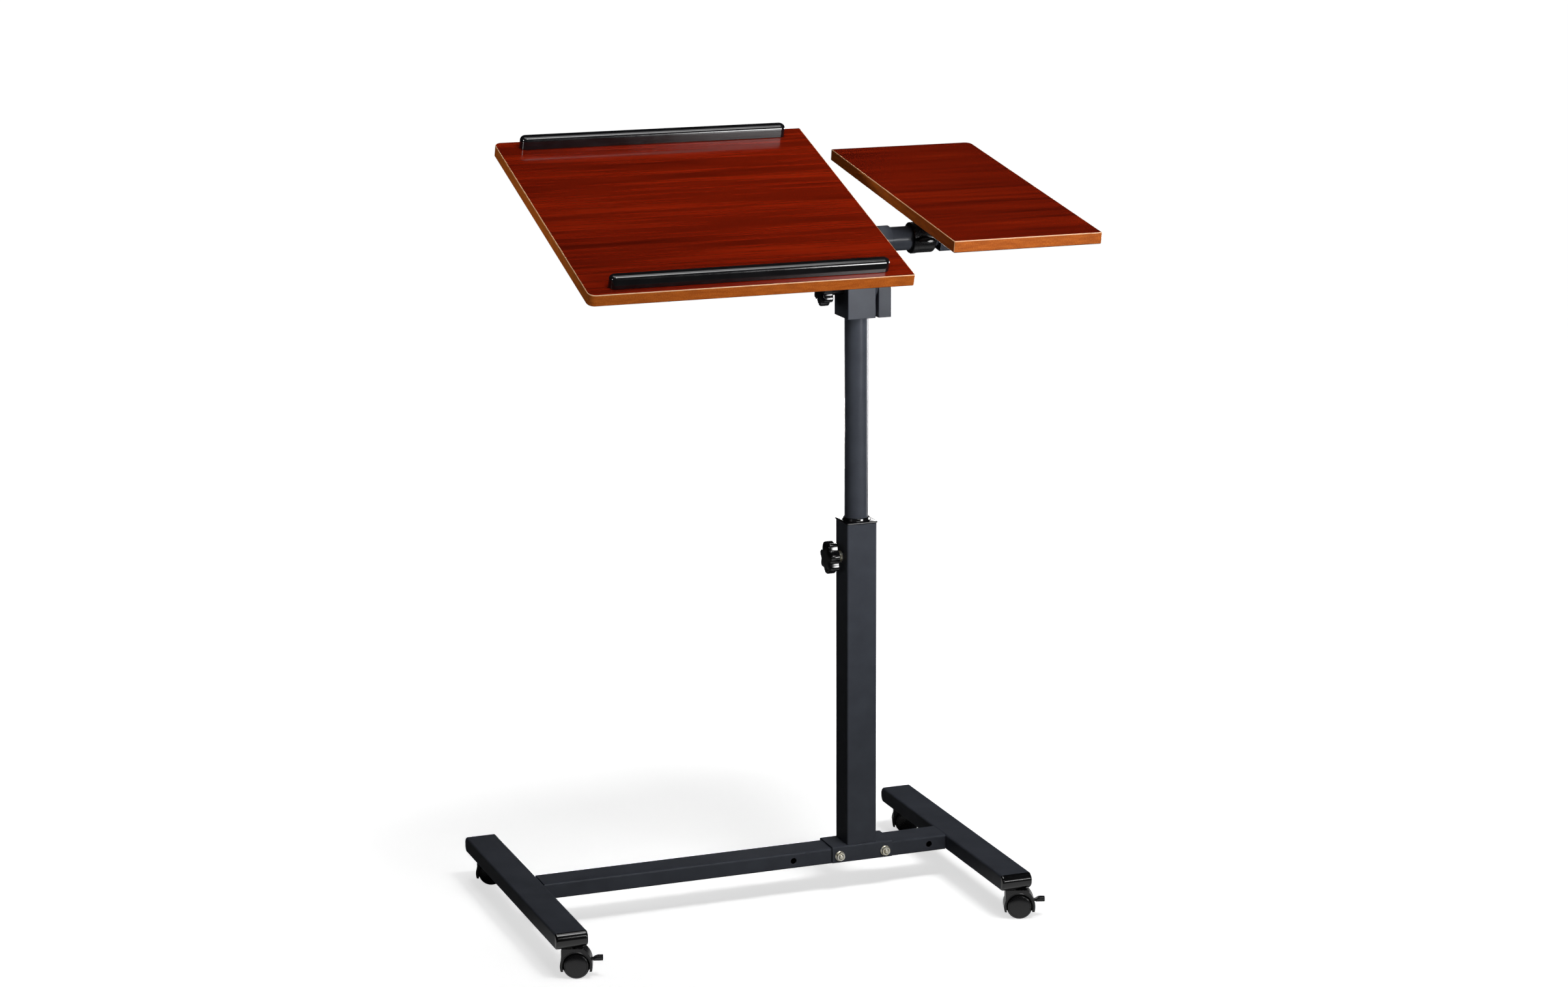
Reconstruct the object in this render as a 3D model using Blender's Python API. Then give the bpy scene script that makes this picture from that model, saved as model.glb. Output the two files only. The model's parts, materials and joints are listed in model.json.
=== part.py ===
"""Laptop table: a tilting main top and a side top on a telescopic column with a rolling base.

Metres, +Z up, +X to the user's right, -Y towards the user.  The pieces are placed round the
column's axis, and the whole table then stands with the middle of its outer box over the origin.
"""
import math

import bmesh
import bpy
from mathutils import Vector

# Fits shared by all pieces
GAP = 0.0003                    # clearance between pieces that touch, slide or turn
SHARP = math.radians(35)        # edges steeper than this stay crisp
ROUND = 20                      # facets round a tube or collar
FINE = 12                       # facets round a bolt, screw or small hole

# Casters
WHEEL_DIAMETER = 0.032
WHEEL_WIDTH = 0.0089
WHEEL_CLEARANCE = 0.0010        # between the tread and the hood
WHEEL_SEGMENTS = 18
HOOD_REACH = 0.0195             # from the axle to the hood's front and back walls
HOOD_NECK = 0.0178              # from the axle to the front of the neck above the wheels
HOOD_RISE = 0.0240              # height of the hood's rounded back above the axle
HOOD_TOP = 0.0220               # height of the hood's flat crown above the axle
HOOD_DROP = 0.0070              # how far the hood hangs below the axle
HOOD_TIP = 0.0010               # eased corner at the hood's lower ends
HOOD_CORNER = 0.0025
HOOD_WIDTH = 0.0220
HOOD_WEB = 0.0060               # rib between the two wheels
CASTER_TRAIL = 0.0095           # from the swivel axis to the axle
CASTER_TURN = math.radians(-20)  # casters at rest, seen from above
BOSS_DIAMETER = 0.0190
BOSS_HEIGHT = 0.0017
STEM_DIAMETER = 0.0080
STEM_LENGTH = 0.0150
STEM_INSET = 0.0180             # from the end of the foot to the swivel axis
AXLE_DIAMETER = 0.0050
AXLE_DEPTH = 0.0062             # how far the axle enters each wheel
BRAKE_HEIGHT = 0.0064           # of the brake pedal above the axle
BRAKE_PIVOT = 0.0140            # from the axle to the pedal's pivot
BRAKE_TONGUE = 0.0034           # thickness of the tongue that enters the hood
BRAKE_PEDAL_LENGTH = 0.0115
BRAKE_PEDAL_WIDTH = 0.0090
BRAKE_PEDAL_HEIGHT = 0.0056     # of the pedal's outer end
BRAKE_PLAY = 0.0015             # room for the pedal to swing

# Base frame
TUBE_WALL = 0.0015
TUBE_CORNER = 0.0025
FOOT_LENGTH = 0.400             # over both end caps
FOOT_WIDTH = 0.040
FOOT_HEIGHT = 0.020
FOOT_SPREAD = 0.578             # between the centre lines of the feet
COLUMN_TO_RIGHT_FOOT = 0.136
CAP_NOSE = 0.006
CAP_PLUG = 0.007
CROSSBAR_DEPTH = 0.040
CROSSBAR_HEIGHT = 0.020
BOLT_PITCH = 0.062
BOLT_HOLE = 0.0080
BOLT_DIAMETER = 0.0060
BOLT_TIP = 0.0020               # of the bolt past its nut
NUT_WIDTH = 0.0100              # across flats
NUT_HEIGHT = 0.0050
NUT_FLANGE = 0.0130
NUT_FLANGE_SHEET = 0.0012
SADDLE_LENGTH = 0.082
SADDLE_SHEET = 0.0020
SADDLE_DROP = 0.019             # of its flanges below the top of the crossbar

# Column and pole
COLUMN_SIZE = 0.040
COLUMN_LENGTH = 0.4172
CAP_FLANGE = 0.0420
CAP_FLANGE_SHEET = 0.0020
CAP_COLLAR = 0.0338
CAP_COLLAR_HEIGHT = 0.0037
CAP_SLEEVE = 0.025              # depth of the cap inside the column
POLE_DIAMETER = 0.030
POLE_WALL = 0.0020
POLE_INSERTION = 0.150
POLE_EXPOSED = 0.2592            # between the column and the tilt head
GLIDE_HEIGHT = 0.020
GLIDE_SPIGOT = 0.015
GLIDE_BORE = 0.018

# Star knobs
STUD_DIAMETER = 0.0080
STUD_NUT_WIDTH = 0.0130
STUD_NUT_HEIGHT = 0.0040
KNOB_DIAMETER = 0.042
KNOB_DEPTH = 0.0140             # of the lobed grip
KNOB_LOBES = 7
KNOB_SCALLOP = 0.0042           # depth of the hollows between the lobes
KNOB_HUB = 0.0160
HEIGHT_KNOB_DROP = 0.044        # below the top of the column
HEIGHT_KNOB_HUB = 0.0040
TILT_KNOB_HUB = 0.0182
TILT_STUD_TIP = 0.0020

# Tilt head
HEAD_WALL = 0.0032
HEAD_HEIGHT = 0.062
HEAD_BACK = 0.009               # room in the head behind the pole
HEAD_CORNER = 0.0015
PIVOT_HEIGHT = 0.037            # above the bottom of the head
JAW_WIDTH = 0.017
JAW_WALL = 0.0020
LEAF_SHEET = 0.0030
LEAF_TOE = 0.034                # width of the leaf's round lower end
LEAF_EYE = 0.0345                # width of the leaf's round upper end
LEAF_BOSS = 0.012
LEAF_BOSS_WALL = 0.0014
MAIN_TILT = math.radians(19.0)  # front edge down
SIDE_TILT = math.radians(9.0)

# Arm and brackets
ARM_HEIGHT = 0.064              # above the tilt pivot
ARM_DIAMETER = 0.030
ARM_WALL = 0.0020
ARM_LEFT = 0.285
ARM_RIGHT = 0.070
TOP_STANDOFF = 0.044            # from the arm's axis to the underside of the tops
BRACKET_SHEET = 0.0025
BRACKET_FLANGE = 0.030
BRACKET_BEND = 0.0030
MAIN_BRACKET_LENGTH = 0.180
MAIN_BRACKET_END = 0.010        # of the arm left over past the bracket
SIDE_BRACKET_LENGTH = 0.088
SIDE_BRACKET_START = 0.006      # past the collar
SIDE_TUBE_WALL = 0.0015
SIDE_TUBE_INSERTION = 0.060
SIDE_TUBE_END = 0.010           # of the tube left over past its bracket
COLLAR_OVERLAP = 0.0084          # of the collar over the arm's end
COLLAR_LENGTH = 0.0301
COLLAR_WALL = 0.0038
COLLAR_FLANGE = 0.0065
COLLAR_FLANGE_RISE = 0.0005
COLLAR_BEVEL = 0.0034
THUMB_OFFSET = 0.0045           # from the arm's end to the thumb screw
THUMB_STUD = 0.0060
THUMB_HUB = 0.0100
THUMB_SPAN = 0.0250
THUMB_LENGTH = 0.0140
THUMB_THICKNESS = 0.0062

# Tops
TOP_THICKNESS = 0.0145
TOP_EASE = 0.0008               # eased edge of the laminate
TOP_CORNER = 0.009              # outer corners
TOP_CORNER_SQUARE = 0.0015
MAIN_TOP_WIDTH = 0.400
MAIN_TOP_DEPTH = 0.400
MAIN_TOP_SETBACK = 0.0175       # from the column's axis to the main top's right edge
SIDE_TOP_WIDTH = 0.192
SIDE_TOP_DEPTH = 0.400
SIDE_TOP_START = 0.0325         # from the column's axis to the side top's left edge
STOP_LENGTH = 0.345
STOP_WIDTH = 0.015
STOP_HEIGHT = 0.0155
STOP_ROUND = 0.0045
STOP_INSET = 0.010
SCREW_DIAMETER = 0.0040
SCREW_BITE = 0.0100             # of the screw inside the top
SCREW_HEAD = 0.0086
SCREW_HEAD_HEIGHT = 0.0026
SCREW_INSET = 0.015             # from the end of the bracket

# Levels worked out from the sizes above, measured from the floor
AXLE_Z = WHEEL_DIAMETER / 2
FOOT_BOTTOM = AXLE_Z + HOOD_TOP + BOSS_HEIGHT + GAP
FOOT_Z = FOOT_BOTTOM + FOOT_HEIGHT / 2
CROSSBAR_TOP = FOOT_Z + CROSSBAR_HEIGHT / 2
SADDLE_TOP = CROSSBAR_TOP + GAP + SADDLE_SHEET
COLUMN_BOTTOM = SADDLE_TOP + GAP
COLUMN_TOP = COLUMN_BOTTOM + COLUMN_LENGTH
HEAD_BOTTOM = COLUMN_TOP + POLE_EXPOSED
PIVOT_Z = HEAD_BOTTOM + PIVOT_HEIGHT
HEAD_SIZE = POLE_DIAMETER + 2 * (GAP + HEAD_WALL)
LEAF_X = HEAD_SIZE / 2 + GAP
JAW_X = LEAF_X + LEAF_SHEET + GAP
JAW_END = JAW_X + JAW_WIDTH
SIDE_TUBE_DIAMETER = ARM_DIAMETER - 2 * (ARM_WALL + GAP)
COLLAR_X = ARM_RIGHT - COLLAR_OVERLAP
COLLAR_END = COLLAR_X + COLLAR_LENGTH
THUMB_X = ARM_RIGHT + THUMB_OFFSET


def on_axis(axis, a, b, along):
    """Point at a distance along the named axis, with cross coordinates a and b."""
    if axis == "X":
        return (along, a, b)
    if axis == "Y":
        return (a, along, b)
    return (a, b, along)


def circle(radius, count=ROUND, centre=(0.0, 0.0)):
    """Round outline; the radius can be a number or a function of the angle."""
    points = []
    for i in range(count):
        angle = 2 * math.pi * (i + 0.5) / count
        size = radius(angle) if callable(radius) else radius
        points.append((centre[0] + size * math.cos(angle), centre[1] + size * math.sin(angle)))
    return points


def arc(centre, radii, start, end, steps):
    """Points on a circular or elliptical arc, both ends included."""
    points = []
    for i in range(steps + 1):
        angle = start + (end - start) * i / steps
        points.append((centre[0] + radii[0] * math.cos(angle), centre[1] + radii[1] * math.sin(angle)))
    return points


def rounded_rectangle(width, height, radius, steps=2):
    """Outline centred on zero; a loop of steps + 1 points goes round each corner."""
    points = []
    for quarter in range(4):
        middle = math.pi * (quarter / 2 + 0.25)
        a = math.copysign(width / 2 - radius, math.cos(middle))
        b = math.copysign(height / 2 - radius, math.sin(middle))
        points += arc((a, b), (radius, radius), quarter * math.pi / 2, (quarter + 1) * math.pi / 2, steps)
    return points


def filleted(corners, steps=2):
    """Outline through (a, b, radius) corners, each rounded by its own radius."""
    points = []
    for i, (a, b, radius) in enumerate(corners):
        corner = Vector((a, b))
        if radius == 0:
            points.append((a, b))
            continue
        before = (Vector(corners[i - 1][:2]) - corner).normalized()
        after = (Vector(corners[(i + 1) % len(corners)][:2]) - corner).normalized()
        half = before.angle(after) / 2
        centre = corner + (before + after).normalized() * radius / math.sin(half)
        first = corner + before * radius / math.tan(half) - centre
        last = corner + after * radius / math.tan(half) - centre
        turn = first.angle_signed(last)
        start = math.atan2(first.y, first.x)
        points += arc(centre, (radius, radius), start, start - turn, steps)
    return points


def loft(loops, closed=False, bm=None):
    """Skin equal loops into one closed body; closed joins the last loop to the first."""
    bm = bm or bmesh.new()
    rings = [[bm.verts.new(point) for point in loop] for loop in loops]
    pairs = list(zip(rings, rings[1:]))
    if closed:
        pairs.append((rings[-1], rings[0]))
    else:
        bm.faces.new(rings[0])
        bm.faces.new(rings[-1])
    for near, far in pairs:
        for i, vertex in enumerate(near):
            j = (i + 1) % len(near)
            bm.faces.new((vertex, near[j], far[j], far[i]))
    bmesh.ops.recalc_face_normals(bm, faces=bm.faces)
    return bm


def sections(axis, stations, closed=False, bm=None):
    """Loft outlines given as (distance along the axis, outline)."""
    loops = [[on_axis(axis, a, b, along) for a, b in outline] for along, outline in stations]
    return loft(loops, closed, bm)


def prism(axis, outline, start, end, bm=None):
    """Straight solid bar of the given outline."""
    return sections(axis, [(start, outline), (end, outline)], bm=bm)


def tube(axis, outer, inner, start, end):
    """Straight hollow bar, open at both ends."""
    return sections(axis, [(start, outer), (end, outer), (end, inner), (start, inner)], closed=True)


def turned(axis, profile, count=ROUND, centre=(0.0, 0.0), closed=False, bm=None):
    """Body turned about the axis from a profile of (radius, distance along the axis)."""
    stations = [(along, circle(radius, count, centre)) for radius, along in profile]
    return sections(axis, stations, closed, bm)


def finish(name, colour, roughness, metallic=0.0):
    """Surface finish with one colour."""
    material = bpy.data.materials.new(name)
    material.use_nodes = True
    shader = material.node_tree.nodes["Principled BSDF"]
    shader.inputs["Base Color"].default_value = (*colour, 1.0)
    shader.inputs["Roughness"].default_value = roughness
    shader.inputs["Metallic"].default_value = metallic
    return material


def pivot(name, parent, location, tilt=0.0, turn=0.0):
    """Empty that carries one moving body, tilted about X and turned about Z."""
    axis = bpy.data.objects.new(name, None)
    bpy.context.collection.objects.link(axis)
    axis.parent = parent
    axis.location = location
    axis.rotation_euler = (tilt, 0.0, turn)
    return axis


def piece(name, bm, material, parent, location=(0.0, 0.0, 0.0)):
    """Named object made from a finished body."""
    mesh = bpy.data.meshes.new(name)
    bm.to_mesh(mesh)
    bm.free()
    mesh.shade_smooth()
    mesh.set_sharp_from_angle(angle=SHARP)
    item = bpy.data.objects.new(name, mesh)
    bpy.context.collection.objects.link(item)
    item.parent = parent
    item.location = location
    if material:
        mesh.materials.append(material)
    return item


def combine(target, bm, operation="DIFFERENCE", location=(0.0, 0.0, 0.0), tilt=0.0):
    """Cut a body out of the target, or join it on with UNION."""
    tool = piece(target.name + ".tool", bm, None, target, location)
    tool.rotation_euler = (tilt, 0.0, 0.0)
    tool.hide_render = True
    tool.display_type = "WIRE"
    boolean = target.modifiers.new(operation.title(), "BOOLEAN")
    boolean.operation = operation
    boolean.solver = "EXACT"
    boolean.object = tool


def ease(target, width, segments=1):
    """Round the target's crisp edges."""
    bevel = target.modifiers.new("Eased edges", "BEVEL")
    bevel.width = width
    bevel.segments = segments
    bevel.limit_method = "ANGLE"
    bevel.angle_limit = math.radians(50)


def hexagon(width, count=FINE):
    """Hexagonal outline with points spread evenly round it."""
    def radius(angle):
        nearest = (angle + math.pi / 6) % (math.pi / 3) - math.pi / 6
        return width / 2 / math.cos(nearest)
    return circle(radius, count)


for old in list(bpy.data.objects):
    bpy.data.objects.remove(old)

powder_black = finish("powder_black", (0.018, 0.018, 0.021), 0.45)
gloss_black = finish("gloss_black", (0.012, 0.012, 0.014), 0.22)
soft_black = finish("soft_black", (0.020, 0.020, 0.022), 0.50)
zinc = finish("yellow_zinc", (0.62, 0.55, 0.34), 0.30, 1.0)
steel = finish("bare_steel", (0.45, 0.45, 0.46), 0.35, 1.0)
mahogany = finish("mahogany_laminate", (0.110, 0.012, 0.004), 0.18)

table = pivot("table", None, (0.0, 0.0, 0.0))


# Feet: rectangular tubes with bullnose end caps
FEET = {"left": COLUMN_TO_RIGHT_FOOT - FOOT_SPREAD, "right": COLUMN_TO_RIGHT_FOOT}
ENDS = {"front": -1, "back": 1}
STEM_Y = FOOT_LENGTH / 2 - STEM_INSET


def foot_cap(side):
    """Plug with a nose that bulges over the whole width of the tube's end."""
    radius = (FOOT_HEIGHT ** 2 / 4 + CAP_NOSE ** 2) / (2 * CAP_NOSE)
    widest = math.asin(FOOT_HEIGHT / 2 / radius)
    if CAP_NOSE > FOOT_HEIGHT / 2:
        widest = math.pi - widest
    inner = FOOT_LENGTH / 2 - CAP_NOSE
    stations = []
    for part in (0.12, 0.35, 0.6, 0.82, 1.0):
        angle = widest * part
        height = 2 * radius * math.sin(angle)
        nose = inner + CAP_NOSE - radius * (1 - math.cos(angle))
        stations.append((side * nose, rounded_rectangle(FOOT_WIDTH, height, min(TUBE_CORNER, height / 3))))
    plug_width = FOOT_WIDTH - 2 * (TUBE_WALL + GAP)
    plug_height = FOOT_HEIGHT - 2 * (TUBE_WALL + GAP)
    plug = rounded_rectangle(plug_width, plug_height, TUBE_CORNER - TUBE_WALL)
    stations += [(side * inner, plug), (side * (inner - CAP_PLUG), plug)]
    return sections("Y", stations)


for foot_name, foot_x in FEET.items():
    tube_half = FOOT_LENGTH / 2 - CAP_NOSE - GAP
    outside = rounded_rectangle(FOOT_WIDTH, FOOT_HEIGHT, TUBE_CORNER)
    inside = rounded_rectangle(FOOT_WIDTH - 2 * TUBE_WALL, FOOT_HEIGHT - 2 * TUBE_WALL,
                               TUBE_CORNER - TUBE_WALL)
    foot = piece(foot_name + "_foot", tube("Y", outside, inside, -tube_half, tube_half),
                 powder_black, table, (foot_x, 0.0, FOOT_Z))
    stem_holes = bmesh.new()
    for end_name, end in ENDS.items():
        prism("Z", circle(STEM_DIAMETER / 2 + GAP, FINE, (0.0, end * STEM_Y)), -FOOT_HEIGHT, 0.0, stem_holes)
        piece("foot_cap_%s_%s" % (end_name, foot_name), foot_cap(end), gloss_black, table,
              (foot_x, 0.0, FOOT_Z))
    combine(foot, stem_holes)

# Crossbar: tube between the feet, with bolt holes for two places of the column
bar_outside = rounded_rectangle(CROSSBAR_DEPTH, CROSSBAR_HEIGHT, TUBE_CORNER)
bar_inside = rounded_rectangle(CROSSBAR_DEPTH - 2 * TUBE_WALL, CROSSBAR_HEIGHT - 2 * TUBE_WALL,
                               TUBE_CORNER - TUBE_WALL)
bar_start = FEET["left"] + FOOT_WIDTH / 2 + GAP
bar_end = FEET["right"] - FOOT_WIDTH / 2 - GAP
crossbar = piece("crossbar", tube("X", bar_outside, bar_inside, bar_start, bar_end),
                 powder_black, table, (0.0, 0.0, FOOT_Z))
bar_holes = bmesh.new()
for step in (-1.5, -0.5, 0.5, 1.5):
    bolt_hole = circle(BOLT_HOLE / 2, FINE, (step * BOLT_PITCH, 0.0))
    prism("Y", bolt_hole, -CROSSBAR_DEPTH, CROSSBAR_DEPTH, bar_holes)
combine(crossbar, bar_holes)

# Saddle: folded channel over the crossbar, welded under the column and bolted through
saddle_in = CROSSBAR_DEPTH / 2 + GAP
saddle_out = saddle_in + SADDLE_SHEET
saddle_foot = CROSSBAR_TOP - SADDLE_DROP
channel = filleted([
    (-saddle_out, saddle_foot, 0), (-saddle_in, saddle_foot, 0),
    (-saddle_in, SADDLE_TOP - SADDLE_SHEET, 0), (saddle_in, SADDLE_TOP - SADDLE_SHEET, 0),
    (saddle_in, saddle_foot, 0), (saddle_out, saddle_foot, 0),
    (saddle_out, SADDLE_TOP, SADDLE_SHEET), (-saddle_out, SADDLE_TOP, SADDLE_SHEET)])
saddle = piece("column_saddle", prism("X", channel, -SADDLE_LENGTH / 2, SADDLE_LENGTH / 2),
               powder_black, table)
saddle_holes = bmesh.new()
bolt_under_head = saddle_out + GAP
nut_flange_end = bolt_under_head + NUT_FLANGE_SHEET
nut_end = bolt_under_head + NUT_HEIGHT
bolt_radius = BOLT_DIAMETER / 2
for bolt_name, bolt_x in (("left", -BOLT_PITCH / 2), ("right", BOLT_PITCH / 2)):
    bolt_hole = circle(bolt_radius + GAP, FINE, (bolt_x, FOOT_Z))
    prism("Y", bolt_hole, -CROSSBAR_DEPTH, CROSSBAR_DEPTH, saddle_holes)
    bolt = sections("Y", [
        (-nut_end - BOLT_TIP, circle(bolt_radius * 0.7, FINE)),
        (-nut_end - BOLT_TIP / 3, circle(bolt_radius, FINE)),
        (bolt_under_head, circle(bolt_radius, FINE)), (bolt_under_head, circle(NUT_FLANGE / 2, FINE)),
        (nut_flange_end, circle(NUT_FLANGE / 2, FINE)), (nut_flange_end, hexagon(NUT_WIDTH)),
        (nut_end, hexagon(NUT_WIDTH))])
    piece("saddle_bolt_" + bolt_name, bolt, zinc, table, (bolt_x, 0.0, FOOT_Z))
    nut = sections("Y", [
        (-bolt_under_head, circle(bolt_radius + GAP, FINE)), (-bolt_under_head, circle(NUT_FLANGE / 2, FINE)),
        (-nut_flange_end, circle(NUT_FLANGE / 2, FINE)), (-nut_flange_end, hexagon(NUT_WIDTH)),
        (-nut_end, hexagon(NUT_WIDTH)), (-nut_end, circle(bolt_radius + GAP, FINE))], closed=True)
    piece("saddle_nut_" + bolt_name, nut, zinc, table, (bolt_x, 0.0, FOOT_Z))
combine(saddle, saddle_holes)

# Column: square tube with a moulded guide cap, and a weld nut for the height knob
column_in = COLUMN_SIZE - 2 * TUBE_WALL
knob_z = COLUMN_TOP - HEIGHT_KNOB_DROP
column = piece("column", tube("Z", rounded_rectangle(COLUMN_SIZE, COLUMN_SIZE, TUBE_CORNER),
                              rounded_rectangle(column_in, column_in, TUBE_CORNER - TUBE_WALL),
                              COLUMN_BOTTOM, COLUMN_TOP), powder_black, table)
combine(column, prism("X", circle(STUD_DIAMETER / 2 + GAP, FINE, (0.0, knob_z)), -COLUMN_SIZE, 0.0))

guide = circle(POLE_DIAMETER / 2 + GAP)
sleeve_square = rounded_rectangle(column_in - 2 * GAP, column_in - 2 * GAP, TUBE_CORNER - TUBE_WALL, 4)
flange_square = rounded_rectangle(CAP_FLANGE, CAP_FLANGE, TUBE_CORNER, 4)
flange_top = COLUMN_TOP + GAP + CAP_FLANGE_SHEET
collar_top = flange_top + CAP_COLLAR_HEIGHT
piece("column_cap", sections("Z", [
    (COLUMN_TOP - CAP_SLEEVE, guide), (COLUMN_TOP - CAP_SLEEVE, sleeve_square),
    (COLUMN_TOP + GAP, sleeve_square), (COLUMN_TOP + GAP, flange_square), (flange_top, flange_square),
    (flange_top, circle(CAP_COLLAR / 2)), (collar_top, circle(CAP_COLLAR / 2)),
    (collar_top, guide)], closed=True), gloss_black, table)

weld_nut_x = -COLUMN_SIZE / 2 - GAP
nut_bore = circle(STUD_DIAMETER / 2 + GAP, FINE)
piece("height_nut", tube("X", hexagon(STUD_NUT_WIDTH), nut_bore, weld_nut_x - STUD_NUT_HEIGHT, weld_nut_x),
      zinc, table, (0.0, 0.0, knob_z))


def star_knob(hub, stud):
    """Lobed grip on a moulded-in stud; the hub's inner face is at zero and the stud points to +X."""
    radius = KNOB_DIAMETER / 2
    count = KNOB_LOBES * 4

    def lobed(share, hollow):
        def size(angle):
            wave = math.cos(KNOB_LOBES * (angle + math.pi / 2 + math.pi / count))
            return radius * share - hollow * KNOB_SCALLOP * (1 - wave) / 2
        return circle(size, count)

    stud_round = circle(STUD_DIAMETER / 2, count)
    hub_round = circle(KNOB_HUB / 2, count)
    return sections("X", [
        (stud, stud_round), (0.0, stud_round), (0.0, hub_round), (-hub, hub_round),
        (-hub, lobed(0.94, 1.0)), (-hub - KNOB_DEPTH * 0.75, lobed(1.0, 1.0)),
        (-hub - KNOB_DEPTH * 0.90, lobed(0.93, 0.9)), (-hub - KNOB_DEPTH, circle(radius * 0.55, count))])


height_knob_x = weld_nut_x - STUD_NUT_HEIGHT - GAP
height_knob_axis = pivot("height_knob_axis", table, (height_knob_x, 0.0, knob_z))
piece("height_knob", star_knob(HEIGHT_KNOB_HUB, -height_knob_x - POLE_DIAMETER / 2 - GAP),
      gloss_black, height_knob_axis)

# Pole: round tube that slides and swivels in the column, on a square glide
slide_axis = pivot("slide_axis", table, (0.0, 0.0, COLUMN_TOP))
swivel_axis = pivot("swivel_axis", slide_axis, (0.0, 0.0, 0.0))
pole_bottom = -POLE_INSERTION
pole_bore = POLE_DIAMETER / 2 - POLE_WALL
glide_square = rounded_rectangle(column_in - 2 * GAP, column_in - 2 * GAP, TUBE_CORNER - TUBE_WALL, 4)
spigot = circle(pole_bore - GAP)
glide_hole = circle(GLIDE_BORE / 2)
glide_top = pole_bottom - GAP
piece("pole_glide", sections("Z", [
    (glide_top - GLIDE_HEIGHT, glide_hole), (glide_top - GLIDE_HEIGHT, glide_square),
    (glide_top, glide_square), (glide_top, spigot), (glide_top + GLIDE_SPIGOT, spigot),
    (glide_top + GLIDE_SPIGOT, glide_hole)], closed=True), soft_black, slide_axis)

head_low = HEAD_BOTTOM - COLUMN_TOP
head_high = head_low + HEAD_HEIGHT
pivot_level = head_low + PIVOT_HEIGHT
bolt_clear = circle(STUD_DIAMETER / 2 + GAP, FINE, (0.0, pivot_level))
pole = piece("pole", tube("Z", circle(POLE_DIAMETER / 2), circle(pole_bore), pole_bottom, head_high),
             powder_black, swivel_axis)
combine(pole, prism("X", bolt_clear, -POLE_DIAMETER, POLE_DIAMETER))

# Tilt head: square sleeve on the pole and a loose jaw, drawn together by the tilt knob's stud
head_bore = POLE_DIAMETER + 2 * GAP
head_depth = HEAD_SIZE + HEAD_BACK
sleeve_outside = rounded_rectangle(HEAD_SIZE, head_depth, HEAD_CORNER)
sleeve_inside = rounded_rectangle(head_bore, head_bore + HEAD_BACK, HEAD_CORNER / 2)
sleeve = piece("head_sleeve", tube("Z", sleeve_outside, sleeve_inside, head_low, head_high),
               powder_black, swivel_axis, (0.0, HEAD_BACK / 2, 0.0))
combine(sleeve, prism("X", bolt_clear, -HEAD_SIZE, HEAD_SIZE), location=(0.0, -HEAD_BACK / 2, 0.0))
jaw_middle = (JAW_X + JAW_END) / 2
jaw_outside = rounded_rectangle(JAW_WIDTH, head_depth, HEAD_CORNER)
jaw_inside = rounded_rectangle(JAW_WIDTH - 2 * JAW_WALL, head_depth - 2 * JAW_WALL, HEAD_CORNER / 2)
jaw = piece("clamp_jaw", tube("Z", jaw_outside, jaw_inside, head_low, head_high),
            powder_black, swivel_axis, (jaw_middle, HEAD_BACK / 2, 0.0))
combine(jaw, prism("X", bolt_clear, -JAW_WIDTH, JAW_WIDTH), location=(0.0, -HEAD_BACK / 2, 0.0))
tilt_nut_x = JAW_END + GAP
tilt_nut_end = tilt_nut_x + NUT_HEIGHT
piece("tilt_nut", tube("X", hexagon(STUD_NUT_WIDTH), nut_bore, tilt_nut_x, tilt_nut_end),
      zinc, swivel_axis, (0.0, 0.0, pivot_level))
tilt_knob_x = -HEAD_SIZE / 2 - GAP
tilt_knob_axis = pivot("tilt_knob_axis", swivel_axis, (tilt_knob_x, 0.0, pivot_level))
piece("tilt_knob", star_knob(TILT_KNOB_HUB, tilt_nut_end + TILT_STUD_TIP - tilt_knob_x),
      gloss_black, tilt_knob_axis)

# Tilting carrier: leaf clamped in the head, round arm, bracket and collar
tilt_axis = pivot("tilt_axis", swivel_axis, (0.0, 0.0, pivot_level), MAIN_TILT)
arm_radius = ARM_DIAMETER / 2
arm_middle = (0.0, ARM_HEIGHT)
arm_hole = arm_radius + GAP


def link(low, high, distance, steps=9):
    """Outline round two circles of unlike radius, one above the other."""
    slope = math.asin((low - high) / distance)
    bottom = arc((0.0, 0.0), (low, low), math.pi - slope, 2 * math.pi + slope, steps)
    return bottom + arc((0.0, distance), (high, high), slope, math.pi - slope, steps)


leaf_outline = link(LEAF_TOE / 2, LEAF_EYE / 2, ARM_HEIGHT)
leaf = piece("tilt_leaf", prism("X", leaf_outline, LEAF_X, LEAF_X + LEAF_SHEET), powder_black, tilt_axis)
combine(leaf, prism("X", circle(arm_hole + LEAF_BOSS_WALL, ROUND, arm_middle),
                    LEAF_X + LEAF_SHEET / 2, LEAF_X + LEAF_SHEET + LEAF_BOSS), "UNION")
leaf_holes = prism("X", circle(STUD_DIAMETER / 2 + GAP, FINE), 0.0, 2 * JAW_END)
combine(leaf, prism("X", circle(arm_hole, ROUND, arm_middle), 0.0, 2 * JAW_END, leaf_holes))

arm_outside = circle(arm_radius, ROUND, arm_middle)
arm_inside = circle(arm_radius - ARM_WALL, ROUND, arm_middle)
piece("arm_tube", tube("X", arm_outside, arm_inside, -ARM_LEFT, ARM_RIGHT), powder_black, tilt_axis)


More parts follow.
